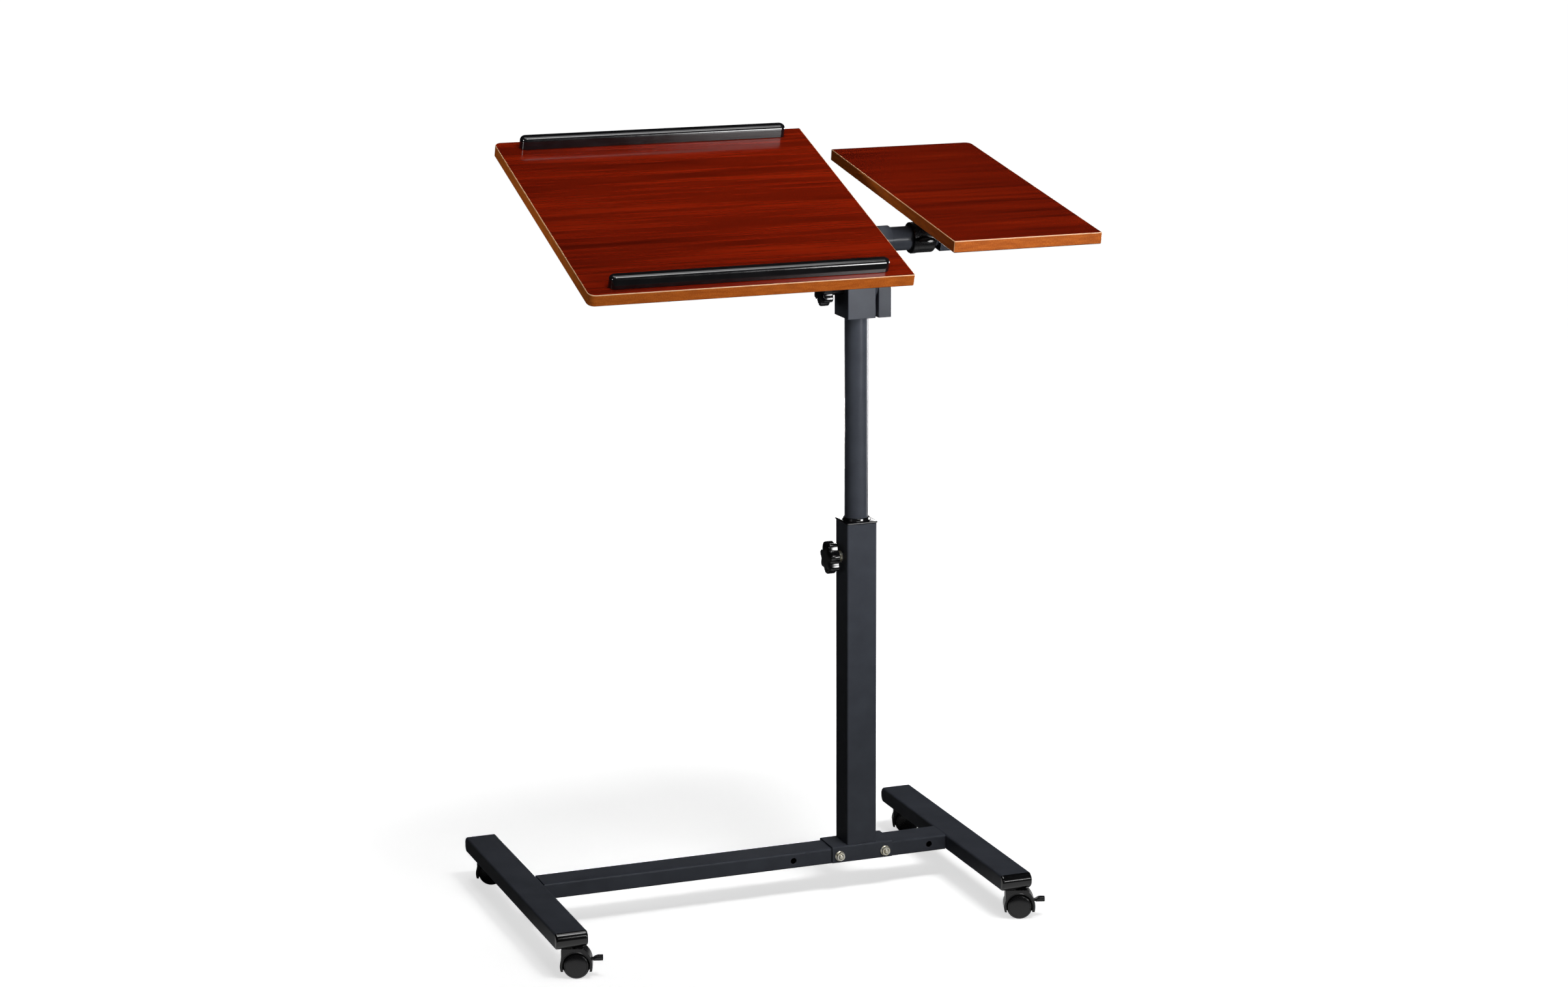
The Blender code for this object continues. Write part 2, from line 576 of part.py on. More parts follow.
def bracket(radius, level):
    """Outline of a sheet channel that wraps a tube from below, with flanges under the top."""
    inner = radius + GAP
    outer = inner + BRACKET_SHEET
    high = level + TOP_STANDOFF - GAP
    low = high - BRACKET_SHEET
    edge = outer + BRACKET_FLANGE
    bend_in = BRACKET_BEND - BRACKET_SHEET
    return filleted([
        (-edge, high, 0), (-edge, low, 0), (-outer, low, bend_in), (-outer, level - outer, BRACKET_BEND),
        (outer, level - outer, BRACKET_BEND), (outer, low, bend_in), (edge, low, 0), (edge, high, 0),
        (inner, high, BRACKET_BEND), (inner, level - inner, bend_in), (-inner, level - inner, bend_in),
        (-inner, high, BRACKET_BEND)])


def screw_places(radius, start, end):
    """Middle of each flange, near both ends of a bracket."""
    across = radius + GAP + BRACKET_SHEET + BRACKET_FLANGE / 2
    return [(x, y) for x in (start + SCREW_INSET, end - SCREW_INSET) for y in (-across, across)]


def screw(level):
    """Pan-head screw that enters the top from below."""
    seat = level + TOP_STANDOFF - GAP - BRACKET_SHEET - GAP
    tip = level + TOP_STANDOFF + SCREW_BITE
    shank = SCREW_DIAMETER / 2
    head = SCREW_HEAD / 2
    return turned("Z", [
        (head * 0.55, seat - SCREW_HEAD_HEIGHT), (head * 0.9, seat - SCREW_HEAD_HEIGHT * 0.7), (head, seat),
        (shank, seat), (shank, tip - SCREW_DIAMETER), (shank * 0.2, tip)], 8)


def fasten(name, carrier, top, places, level, parent):
    """Screw a bracket under a top, with clear holes in the sheet and blind holes in the board."""
    clear_holes = bmesh.new()
    blind_holes = bmesh.new()
    underside = level + TOP_STANDOFF
    for number, place in enumerate(places, 1):
        hole = circle(SCREW_DIAMETER / 2 + GAP, 8, place)
        prism("Z", hole, underside - 3 * BRACKET_SHEET, underside + BRACKET_SHEET, clear_holes)
        prism("Z", hole, underside - TOP_EASE, underside + SCREW_BITE + GAP, blind_holes)
        piece("%s_screw_%d" % (name, number), screw(level), zinc, parent, (*place, 0.0))
    combine(carrier, clear_holes)
    combine(top, blind_holes)


bracket_start = MAIN_BRACKET_END - ARM_LEFT
bracket_end = bracket_start + MAIN_BRACKET_LENGTH
main_channel = bracket(arm_radius, ARM_HEIGHT)
main_bracket = piece("main_bracket", prism("X", main_channel, bracket_start, bracket_end),
                     powder_black, tilt_axis)

# Main top: laminated board with a stop bar along its front and back edges
board_low = ARM_HEIGHT + TOP_STANDOFF
board_high = board_low + TOP_THICKNESS
left_edge = -MAIN_TOP_SETBACK - MAIN_TOP_WIDTH
main_half = MAIN_TOP_DEPTH / 2
main_outline = filleted([
    (left_edge, -main_half, TOP_CORNER), (-MAIN_TOP_SETBACK, -main_half, TOP_CORNER_SQUARE),
    (-MAIN_TOP_SETBACK, main_half, TOP_CORNER_SQUARE), (left_edge, main_half, TOP_CORNER)], 6)
main_top = piece("main_top", prism("Z", main_outline, board_low, board_high), mahogany, tilt_axis)
ease(main_top, TOP_EASE)
main_places = screw_places(arm_radius, bracket_start, bracket_end)
fasten("main", main_bracket, main_top, main_places, ARM_HEIGHT, tilt_axis)


def stop_outline(inset, steps=5):
    """Long outline with round ends, drawn in by the inset."""
    radius = STOP_WIDTH / 2 - inset
    reach = (STOP_LENGTH - STOP_WIDTH) / 2
    right = arc((reach, 0.0), (radius, radius), -math.pi / 2, math.pi / 2, steps)
    return right + arc((-reach, 0.0), (radius, radius), math.pi / 2, 3 * math.pi / 2, steps)


for end_name, end in ENDS.items():
    stop_base = board_high + GAP
    shoulder = stop_base + STOP_HEIGHT - STOP_ROUND
    stations = [(stop_base, stop_outline(0.0))]
    for part in range(4):
        turn = math.pi / 2 * part / 3
        level = shoulder + STOP_ROUND * math.sin(turn)
        stations.append((level, stop_outline(STOP_ROUND * (1 - math.cos(turn)))))
    piece(end_name + "_stop", sections("Z", stations), gloss_black, tilt_axis,
          (left_edge + MAIN_TOP_WIDTH / 2, end * (main_half - STOP_INSET - STOP_WIDTH / 2), 0.0))

# Collar: moulded clamp over the arm's end, tightened on the side tube by a thumb screw
side_radius = SIDE_TUBE_DIAMETER / 2
collar_radius = arm_hole + COLLAR_WALL
collar = piece("arm_collar", turned("X", [
    (arm_hole, COLLAR_X), (collar_radius + COLLAR_FLANGE_RISE, COLLAR_X),
    (collar_radius + COLLAR_FLANGE_RISE, COLLAR_X + COLLAR_FLANGE), (collar_radius, COLLAR_X + COLLAR_FLANGE),
    (collar_radius, COLLAR_END - COLLAR_BEVEL), (collar_radius - COLLAR_BEVEL, COLLAR_END),
    (side_radius + GAP, COLLAR_END), (side_radius + GAP, ARM_RIGHT + GAP), (arm_hole, ARM_RIGHT + GAP)],
    ROUND, arm_middle, closed=True), soft_black, tilt_axis)
thumb_place = (THUMB_X, 0.0, ARM_HEIGHT)
combine(collar, prism("Y", circle(THUMB_STUD / 2 + GAP, FINE), -2 * collar_radius, 0.0),
        location=thumb_place, tilt=-MAIN_TILT)
thumb_axis = pivot("thumb_axis", tilt_axis, thumb_place, -MAIN_TILT)


def oval(span, thickness):
    """Flat oval cross section of the thumb screw's wing."""
    return [(span / 2 * a, thickness / 2 * b) for a, b in circle(1.0, 16)]


hub_start = collar_radius + GAP
wing_start = hub_start + THUMB_HUB / 3
thumb_tip = side_radius + GAP
wing = [(0.0, 0.36, 1.0), (0.35, 0.92, 0.95), (0.62, 1.0, 0.85), (0.84, 0.76, 0.7), (1.0, 0.30, 0.45)]
piece("thumb_screw", sections("Y", [
    (-thumb_tip, oval(THUMB_STUD, THUMB_STUD)), (-hub_start, oval(THUMB_STUD, THUMB_STUD)),
    (-hub_start, oval(THUMB_HUB, THUMB_HUB))] + [
        (-wing_start - THUMB_LENGTH * along, oval(THUMB_SPAN * span, THUMB_THICKNESS * thick))
        for along, span, thick in wing]), soft_black, thumb_axis)

# Side top: smaller board on a tube that turns inside the arm
side_axis = pivot("side_axis", tilt_axis, (0.0, 0.0, ARM_HEIGHT), SIDE_TILT - MAIN_TILT)
side_start = COLLAR_END + SIDE_BRACKET_START
side_end = side_start + SIDE_BRACKET_LENGTH
piece("side_tube", tube("X", circle(side_radius), circle(side_radius - SIDE_TUBE_WALL),
                        ARM_RIGHT - SIDE_TUBE_INSERTION, side_end + SIDE_TUBE_END), powder_black, side_axis)
side_bracket = piece("side_bracket", prism("X", bracket(side_radius, 0.0), side_start, side_end),
                     powder_black, side_axis)
side_right = SIDE_TOP_START + SIDE_TOP_WIDTH
side_half = SIDE_TOP_DEPTH / 2
side_outline = filleted([
    (SIDE_TOP_START, -side_half, TOP_CORNER_SQUARE), (side_right, -side_half, TOP_CORNER_SQUARE),
    (side_right, side_half, TOP_CORNER), (SIDE_TOP_START, side_half, TOP_CORNER_SQUARE)], 6)
side_top = piece("side_top", prism("Z", side_outline, TOP_STANDOFF, TOP_STANDOFF + TOP_THICKNESS),
                 mahogany, side_axis)
ease(side_top, TOP_EASE)
fasten("side", side_bracket, side_top, screw_places(side_radius, side_start, side_end), 0.0, side_axis)

# Casters: hooded twin wheels on a swivelling stem, with a brake pedal on the front pair
wheel_radius = WHEEL_DIAMETER / 2
pocket_radius = wheel_radius + WHEEL_CLEARANCE
axle_middle = (CASTER_TRAIL, 0.0)
axle_bore = AXLE_DIAMETER / 2 + GAP
wheel_inner = HOOD_WEB / 2 + GAP
slot_half = BRAKE_TONGUE / 2 + GAP
slot_height = BRAKE_TONGUE + 2 * BRAKE_PLAY


def hood_outline():
    """Side view of the hood: neck with a flat crown, and an arch round the wheels with eased ends."""
    crown = math.asin(HOOD_TOP / HOOD_RISE)
    tail = -math.asin((HOOD_DROP - HOOD_TIP) / HOOD_RISE)
    back = arc(axle_middle, (HOOD_REACH, HOOD_RISE), tail, crown, 9)
    centre = (CASTER_TRAIL - HOOD_NECK + HOOD_CORNER, HOOD_TOP - HOOD_CORNER)
    corner = arc(centre, (HOOD_CORNER, HOOD_CORNER), math.pi / 2, math.pi, 3)
    flare = math.pi - math.acos(HOOD_NECK / HOOD_REACH)
    toe = math.pi + math.asin((HOOD_DROP - HOOD_TIP) / HOOD_REACH)
    front = arc(axle_middle, (HOOD_REACH, HOOD_REACH), flare, toe, 5)
    ends = [(front[-1][0] + HOOD_TIP, -HOOD_DROP), (back[0][0] - HOOD_TIP, -HOOD_DROP)]
    return back + corner + front + ends


def caster_hood(name, parent, braked):
    """Moulded hood with a rib between two wheel pockets and a steel stem in its crown."""
    half = HOOD_WIDTH / 2
    hood = piece(name, prism("Y", hood_outline(), -half, half), soft_black, parent)
    stem_top = HOOD_TOP + BOSS_HEIGHT + STEM_LENGTH
    combine(hood, turned("Z", [
        (BOSS_DIAMETER / 2, HOOD_TOP - BOSS_HEIGHT), (BOSS_DIAMETER / 2, HOOD_TOP + BOSS_HEIGHT),
        (STEM_DIAMETER / 2, HOOD_TOP + BOSS_HEIGHT), (STEM_DIAMETER / 2, stem_top - BOSS_HEIGHT),
        (STEM_DIAMETER / 3, stem_top)], FINE), "UNION")
    pockets = [
        (pocket_radius, -HOOD_WIDTH), (pocket_radius, -HOOD_WEB / 2), (axle_bore, -HOOD_WEB / 2),
        (axle_bore, HOOD_WEB / 2), (pocket_radius, HOOD_WEB / 2), (pocket_radius, HOOD_WIDTH)]
    combine(hood, turned("Y", pockets, ROUND, axle_middle))
    if braked:
        slot = rounded_rectangle(2 * slot_half, slot_height, GAP)
        slot = [(a, b + BRAKE_HEIGHT) for a, b in slot]
        inner_end = CASTER_TRAIL + BRAKE_PIVOT - slot_height
        combine(hood, prism("X", slot, inner_end, CASTER_TRAIL + 2 * HOOD_REACH))


def wheel(side):
    """Moulded wheel with a blind bore on its inner face and a domed outer face."""
    profile = [
        (axle_bore, AXLE_DEPTH + GAP), (axle_bore, 0.0),
        (wheel_radius, 0.0), (wheel_radius, WHEEL_WIDTH * 0.70), (wheel_radius * 0.88, WHEEL_WIDTH * 0.90),
        (wheel_radius * 0.45, WHEEL_WIDTH)]
    return turned("Y", [(radius, side * (wheel_inner + along)) for radius, along in profile], WHEEL_SEGMENTS)


def brake_pedal(name, parent):
    """Tongue in the hood's slot that widens into a pedal outside; the pivot is at zero."""
    level = BRAKE_HEIGHT / HOOD_RISE
    root = HOOD_REACH * math.sqrt(1 - level ** 2) - BRAKE_PIVOT + BRAKE_PLAY
    half = BRAKE_TONGUE / 2
    tongue = rounded_rectangle(BRAKE_TONGUE, BRAKE_TONGUE, half / 3)
    pedal = rounded_rectangle(BRAKE_PEDAL_WIDTH, BRAKE_TONGUE, half / 2)
    swell = BRAKE_PEDAL_HEIGHT / BRAKE_TONGUE
    tall = [(a, b * swell + half * (swell - 1)) for a, b in pedal]
    tip = [(a * 0.85, b * swell * 0.9 + half * (swell - 1)) for a, b in pedal]
    piece(name, sections("X", [
        (-half, tongue), (root, tongue), (root, pedal), (root + BRAKE_PEDAL_LENGTH * 0.5, tall),
        (root + BRAKE_PEDAL_LENGTH, tip)]), soft_black, parent)


for end_name, end in ENDS.items():
    for foot_name, foot_x in FEET.items():
        caster = "caster_%s_%s" % (end_name, foot_name)
        swivel = pivot(caster + "_swivel_axis", table, (foot_x, end * STEM_Y, AXLE_Z), turn=CASTER_TURN)
        caster_hood(caster + "_hood", swivel, braked=end_name == "front")
        roll = pivot(caster + "_roll_axis", swivel, (CASTER_TRAIL, 0.0, 0.0))
        axle_half = wheel_inner + AXLE_DEPTH
        axle = prism("Y", circle(AXLE_DIAMETER / 2, FINE), -axle_half, axle_half)
        piece(caster + "_axle", axle, steel, roll)
        for side_name, side in ENDS.items():
            piece("%s_wheel_%s" % (caster, side_name), wheel(side), soft_black, roll)
        if end_name == "front":
            place = (CASTER_TRAIL + BRAKE_PIVOT, 0.0, BRAKE_HEIGHT)
            brake_pedal(caster + "_brake", pivot(caster + "_brake_axis", swivel, place))


def outer_box():
    """Lowest and highest corners of all pieces, with their modifiers."""
    graph = bpy.context.evaluated_depsgraph_get()
    corners = []
    for item in bpy.data.objects:
        if item.type == "MESH" and not item.hide_render:
            ready = item.evaluated_get(graph)
            corners += [ready.matrix_world @ vertex.co for vertex in ready.data.vertices]
    low = Vector([min(corner[i] for corner in corners) for i in range(3)])
    high = Vector([max(corner[i] for corner in corners) for i in range(3)])
    return low, high


low_corner, high_corner = outer_box()
middle = (low_corner + high_corner) / 2
table.location = (-middle.x, -middle.y, -low_corner.z)
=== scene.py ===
"""Rolling laptop table: the visible pieces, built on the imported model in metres."""
import json
import math

import bmesh
import bpy
from mathutils import Matrix, Vector


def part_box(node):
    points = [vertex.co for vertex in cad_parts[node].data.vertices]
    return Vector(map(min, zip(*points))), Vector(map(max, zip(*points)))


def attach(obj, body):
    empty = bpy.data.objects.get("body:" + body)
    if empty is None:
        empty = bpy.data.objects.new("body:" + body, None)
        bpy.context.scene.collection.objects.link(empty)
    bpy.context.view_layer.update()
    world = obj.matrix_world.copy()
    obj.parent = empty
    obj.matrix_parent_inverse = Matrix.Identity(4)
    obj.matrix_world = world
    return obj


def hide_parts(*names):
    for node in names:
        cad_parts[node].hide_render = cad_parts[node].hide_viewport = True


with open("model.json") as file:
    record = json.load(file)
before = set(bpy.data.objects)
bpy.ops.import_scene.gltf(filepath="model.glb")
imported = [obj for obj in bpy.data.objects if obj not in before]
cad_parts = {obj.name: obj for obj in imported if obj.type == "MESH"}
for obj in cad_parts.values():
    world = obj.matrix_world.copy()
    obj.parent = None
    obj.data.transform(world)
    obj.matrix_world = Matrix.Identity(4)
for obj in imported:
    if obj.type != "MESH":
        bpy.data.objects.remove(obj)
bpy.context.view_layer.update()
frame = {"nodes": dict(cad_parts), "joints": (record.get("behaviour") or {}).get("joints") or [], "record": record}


# Feet
# Two rectangular steel tubes that run front to back, cut square and welded to the crossbar's ends.
# They have a satin black powder coat, and a hole for a caster's stem near each end of the underside.
FOOT_CORNER = 0.0025
FOOT_WALL = 0.0015
STEM_HOLE = 0.0043
joints = {joint["name"]: Vector(joint["pos_m"]) for joint in frame["joints"] if "pos_m" in joint}


def rounded(width, height, radius, steps=6):
    """Rounded rectangle as (a, b) points round zero."""
    points = []
    for quarter in range(4):
        a = (width / 2 - radius) * (1 if quarter in (0, 3) else -1)
        b = (height / 2 - radius) * (1 if quarter in (0, 1) else -1)
        for step in range(steps + 1):
            angle = (quarter + step / steps) * math.pi / 2
            points.append((a + radius * math.cos(angle), b + radius * math.sin(angle)))
    return points


def ring(radius, count=48, centre=(0.0, 0.0)):
    """Circle as (a, b) points."""
    turns = [2 * math.pi * i / count for i in range(count)]
    return [(centre[0] + radius * math.cos(t), centre[1] + radius * math.sin(t)) for t in turns]


def bridged(bm, loops, closed=False, strips=None):
    """Faces over loops of points, ends filled or joined up; strips gives material numbers."""
    rings = [[bm.verts.new(point) for point in loop] for loop in loops]
    pairs = list(zip(rings, rings[1:]))
    made = []
    if closed:
        pairs.append((rings[-1], rings[0]))
    else:
        made = [bm.faces.new(rings[0]), bm.faces.new(rings[-1])]
        if strips:
            made[0].material_index, made[1].material_index = strips[0], strips[-1]
    for number, (near, far) in enumerate(pairs):
        for i, vertex in enumerate(near):
            j = (i + 1) % len(near)
            face = bm.faces.new((vertex, near[j], far[j], far[i]))
            face.material_index = strips[number + 1] if strips else 0
            made.append(face)
    bmesh.ops.recalc_face_normals(bm, faces=made)
    return bm


def skin(axis, stations, closed=False, bm=None, strips=None):
    """Body skinned over (distance along the axis, outline) stations."""
    order = {"X": lambda a, b, c: (c, a, b), "Y": lambda a, b, c: (a, c, b), "Z": lambda a, b, c: (a, b, c)}
    loops = [[order[axis](a, b, along) for a, b in outline] for along, outline in stations]
    return bridged(bm or bmesh.new(), loops, closed, strips)


def turned(axis, profile, count=48, centre=(0.0, 0.0), closed=False, bm=None):
    """Body turned about the axis from (radius, distance along the axis) points."""
    return skin(axis, [(along, ring(radius, count, centre)) for radius, along in profile], closed, bm)


def square_tube(axis, width, height, length, steps=6):
    """Rectangular tube round zero, open at both ends."""
    outside = rounded(width, height, FOOT_CORNER, steps)
    inside = rounded(width - 2 * FOOT_WALL, height - 2 * FOOT_WALL, FOOT_CORNER - FOOT_WALL, steps)
    half = length / 2
    return skin(axis, [(-half, outside), (half, outside), (half, inside), (-half, inside)], closed=True)


def meshed(name, bm):
    """Mesh of a finished body."""
    mesh = bpy.data.meshes.new(name)
    bm.to_mesh(mesh)
    bm.free()
    return mesh


def linked(name, data):
    """Object in the scene that holds a mesh, a lamp or a camera."""
    item = bpy.data.objects.new(name, data)
    bpy.context.collection.objects.link(item)
    return item


def carved(body, tool, operation="DIFFERENCE"):
    """Body with a tool cut out of it, or joined on with UNION."""
    blanks = [linked("blank", meshed("blank", bm)) for bm in (body, tool)]
    boolean = blanks[0].modifiers.new("Boolean", "BOOLEAN")
    boolean.object = blanks[1]
    boolean.operation = operation
    boolean.solver = "EXACT"
    graph = bpy.context.evaluated_depsgraph_get()
    result = bpy.data.meshes.new_from_object(blanks[0].evaluated_get(graph))
    made = bmesh.new()
    made.from_mesh(result)
    for mesh in [blank.data for blank in blanks] + [result]:
        bpy.data.meshes.remove(mesh)
    return made


def shaped(name, mesh, finishes, soften=0.0, crease=38.0):
    """Object at the origin, smooth over its rounds, with its crisp edges eased."""
    piece = linked(name, mesh)
    if mesh.materials:
        mesh.materials.clear()
    for finish in finishes:
        mesh.materials.append(finish)
    mesh.shade_smooth()
    mesh.set_sharp_from_angle(angle=math.radians(crease))
    if soften:
        bevel = piece.modifiers.new("Eased edges", "BEVEL")
        bevel.width = soften
        bevel.segments = 3
        bevel.limit_method = "ANGLE"
        bevel.angle_limit = math.radians(crease)
    piece.modifiers.new("Flat faces", "WEIGHTED_NORMAL").keep_sharp = True
    return piece


def made_from(name, bm, finish, place=Matrix(), soften=0.0, crease=38.0):
    """Object made from a finished body, with its place in the mesh."""
    bm.transform(place)
    finishes = finish if isinstance(finish, list) else [finish]
    return shaped(name, meshed(name, bm), finishes, soften, crease)


def settle(piece, body, slot, *nodes):
    """Let a piece ride on its body and stand for its solids; its finish slot is not used."""
    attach(piece, body)
    if nodes:
        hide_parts(*nodes)


def finish_base(name, grain=""):
    """Node material with its tree, its shader and its coordinates: the object's own, or a named map."""
    made = bpy.data.materials.new(name)
    made.use_nodes = True
    tree = made.node_tree
    if grain:
        source = tree.nodes.new("ShaderNodeUVMap")
        source.uv_map = grain
        place = source.outputs["UV"]
    else:
        place = tree.nodes.new("ShaderNodeTexCoord").outputs["Object"]
    return made, tree, tree.nodes["Principled BSDF"], place


def speckle(tree, source, scale, detail=2.0, stretch=(1.0, 1.0, 1.0)):
    """Noise over a coordinate, stretched along its axes."""
    mapping = tree.nodes.new("ShaderNodeMapping")
    mapping.inputs["Scale"].default_value = stretch
    noise = tree.nodes.new("ShaderNodeTexNoise")
    noise.inputs["Scale"].default_value = scale
    noise.inputs["Detail"].default_value = detail
    tree.links.new(source, mapping.inputs["Vector"])
    tree.links.new(mapping.outputs["Vector"], noise.inputs["Vector"])
    return noise.outputs["Fac"]


def tinted(tree, shader, value, stops):
    """Colour the shader by a value through (position, colour) stops."""
    ramp = tree.nodes.new("ShaderNodeValToRGB")
    ramp.color_ramp.elements[0].position = stops[0][0]
    ramp.color_ramp.elements[0].color = (*stops[0][1], 1.0)
    ramp.color_ramp.elements[1].position = stops[-1][0]
    ramp.color_ramp.elements[1].color = (*stops[-1][1], 1.0)
    for position, colour in stops[1:-1]:
        ramp.color_ramp.elements.new(position).color = (*colour, 1.0)
    tree.links.new(value, ramp.inputs["Fac"])
    tree.links.new(ramp.outputs["Color"], shader.inputs["Base Color"])


def polished(tree, shader, value, low, high):
    """Let a value move the shader's roughness between two limits."""
    span = tree.nodes.new("ShaderNodeMapRange")
    span.inputs["From Min"].default_value = 0.3
    span.inputs["From Max"].default_value = 0.7
    span.inputs["To Min"].default_value = low
    span.inputs["To Max"].default_value = high
    tree.links.new(value, span.inputs["Value"])
    tree.links.new(span.outputs["Result"], shader.inputs["Roughness"])


def embossed(tree, shader, value, height, strength):
    """Let a value raise the surface."""
    bump = tree.nodes.new("ShaderNodeBump")
    bump.inputs["Distance"].default_value = height
    bump.inputs["Strength"].default_value = strength
    tree.links.new(value, bump.inputs["Height"])
    tree.links.new(bump.outputs["Normal"], shader.inputs["Normal"])


def powder_coat():
    """Satin black powder coat with a fine orange peel."""
    made, tree, shader, place = finish_base("satin_black_powder")
    peel = speckle(tree, place, 900.0)
    tinted(tree, shader, speckle(tree, place, 30.0, 4.0),
           [(0.30, (0.051, 0.056, 0.069)), (0.70, (0.062, 0.068, 0.084))])
    polished(tree, shader, peel, 0.34, 0.48)
    embossed(tree, shader, peel, 0.0002, 0.20)
    shader.inputs["Specular IOR Level"].default_value = 0.03
    shader.inputs["Coat Weight"].default_value = 0.18
    shader.inputs["Coat Roughness"].default_value = 0.25
    return made


powder = powder_coat()
for side in ("left", "right"):
    low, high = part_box(side + "_foot")
    middle, size = (low + high) / 2, high - low
    tube = square_tube("Y", size.x, size.z, size.y)
    holes = bmesh.new()
    for end in ("front", "back"):
        stem = joints["%s_%s_swivel" % (end, side)] - middle
        turned("Z", [(STEM_HOLE, -size.z), (STEM_HOLE, 0.0)], 24, (stem.x, stem.y), bm=holes)
    foot = made_from(side + "_foot_tube", carved(tube, holes), powder, Matrix.Translation(middle))
    settle(foot, "base", "powder_black", side + "_foot")


# Foot end caps
# Four moulded plugs of glossy black plastic, pressed into the open ends of the feet.
# The nose bulges out of the tube, with a thin lip where it meets the steel.
CAP_NOSE = 0.006
CAP_LIP = 0.0005
CAP_DRAW = 0.0012
PLUG_PLAY = 0.0006
PLUG_CORNER = 0.001


def gloss_plastic():
    """Glossy black moulded plastic, a little uneven in its shine."""
    made, tree, shader, place = finish_base("glossy_black_plastic")
    flow = speckle(tree, place, 60.0, 3.0)
    tinted(tree, shader, flow, [(0.3, (0.003, 0.003, 0.0035)), (0.7, (0.006, 0.006, 0.007))])
    polished(tree, shader, flow, 0.10, 0.15)
    embossed(tree, shader, speckle(tree, place, 500.0), 0.00005, 0.08)
    shader.inputs["Specular IOR Level"].default_value = 0.60
    return made


gloss = gloss_plastic()
for side in ("left", "right"):
    tube_low, tube_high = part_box(side + "_foot")
    width, height = tube_high.x - tube_low.x, tube_high.z - tube_low.z
    for end, sign in (("front", -1), ("back", 1)):
        node = "foot_cap_%s_%s" % (end, side)
        low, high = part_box(node)
        tip = low.y if sign < 0 else high.y
        root = high.y if sign < 0 else low.y
        rim = tip - sign * CAP_NOSE
        bulge = (height ** 2 / 4 + CAP_NOSE ** 2) / (2 * CAP_NOSE)
        widest = math.asin(min(1.0, height / 2 / bulge))
        stations = []
        for step in range(15):
            angle = widest * (0.04 + 0.96 * step / 14)
            tall = 2 * bulge * math.sin(angle)
            drawn = CAP_DRAW * (1 - step / 14) ** 3
            stations.append((tip - sign * bulge * (1 - math.cos(angle)),
                             rounded(width - 2 * drawn, tall, min(FOOT_CORNER, tall / 2.5))))
        stations.append((rim - sign * CAP_LIP * 0.2, rounded(width, height, FOOT_CORNER)))
        plug = rounded(width - 2 * FOOT_WALL - PLUG_PLAY, height - 2 * FOOT_WALL - PLUG_PLAY, PLUG_CORNER)
        stations += [(rim - sign * CAP_LIP * 0.2, plug), (root, plug)]
        centre = Matrix.Translation(((low.x + high.x) / 2, 0.0, (tube_low.z + tube_high.z) / 2))
        cap = made_from(node + "_plug", skin("Y", stations), gloss, centre)
        settle(cap, "base", "gloss_black", node)


# Crossbar
# Rectangular steel tube welded between the feet, black powder coated like them.
# Four bolt holes go through it from front to back: two hold the column and two are left free.
BAR_HOLE = 0.004
low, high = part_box("crossbar")
bar_middle, size = (low + high) / 2, high - low
bar = square_tube("X", size.y, size.z, size.x)
bolt_x = [sum(corner.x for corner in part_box("saddle_bolt_" + side)) / 2 for side in ("left", "right")]
bolt_pitch = bolt_x[1] - bolt_x[0]
column_x = sum(bolt_x) / 2
holes = bmesh.new()
for step in (-1.5, -0.5, 0.5, 1.5):
    place = (column_x + step * bolt_pitch - bar_middle.x, 0.0)
    turned("Y", [(BAR_HOLE, -size.y), (BAR_HOLE, size.y)], 32, place, bm=holes)
crossbar = made_from("crossbar_tube", carved(bar, holes), powder, Matrix.Translation(bar_middle))
settle(crossbar, "base", "powder_black", "crossbar")


# Column saddle
# Steel sheet folded into a channel over the crossbar, with the column welded on its middle.
# A bolt goes through each end of it and through the crossbar.
SADDLE_SHEET = 0.002
SADDLE_HOLE = 0.0033
SHEET_EASE = 0.0003
low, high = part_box("column_saddle")
saddle_middle = (low + high) / 2
out, half = (high.y - low.y) / 2, (high.x - low.x) / 2
inner = out - SADDLE_SHEET
bend = SADDLE_SHEET * 1.1


def quarter(centre_a, centre_b, radius, start, steps=6):
    """Quarter of a circle from a start angle in quarters, anticlockwise."""
    turns = [(start + i / steps) * math.pi / 2 for i in range(steps + 1)]
    return [(centre_a + radius * math.cos(t), centre_b + radius * math.sin(t)) for t in turns]


sheet = [(-out, low.z), (-inner, low.z), (-inner, high.z - SADDLE_SHEET), (inner, high.z - SADDLE_SHEET),
         (inner, low.z), (out, low.z)]
sheet += quarter(out - bend, high.z - bend, bend, 0) + quarter(-out + bend, high.z - bend, bend, 1)
channel = skin("X", [(-half, sheet), (half, sheet)])
holes = bmesh.new()
for x in bolt_x:
    turned("Y", [(SADDLE_HOLE, -0.1), (SADDLE_HOLE, 0.1)], 24, (x - column_x, bar_middle.z), bm=holes)
saddle = made_from("saddle_channel", carved(channel, holes), powder,
                   Matrix.Translation((column_x, saddle_middle.y, 0.0)), soften=SHEET_EASE)
settle(saddle, "base", "powder_black", "column_saddle")


# Saddle bolts and nuts
# Two yellow zinc bolts with flanged hexagon heads at the back, and flanged nuts in front.
# The thread's end stands out of each nut.
NUT_WIDTH = 0.010
NUT_FLANGE = 0.013
BOLT_RADIUS = 0.003
THREAD_CREST = 0.00034
FIT = 0.0003


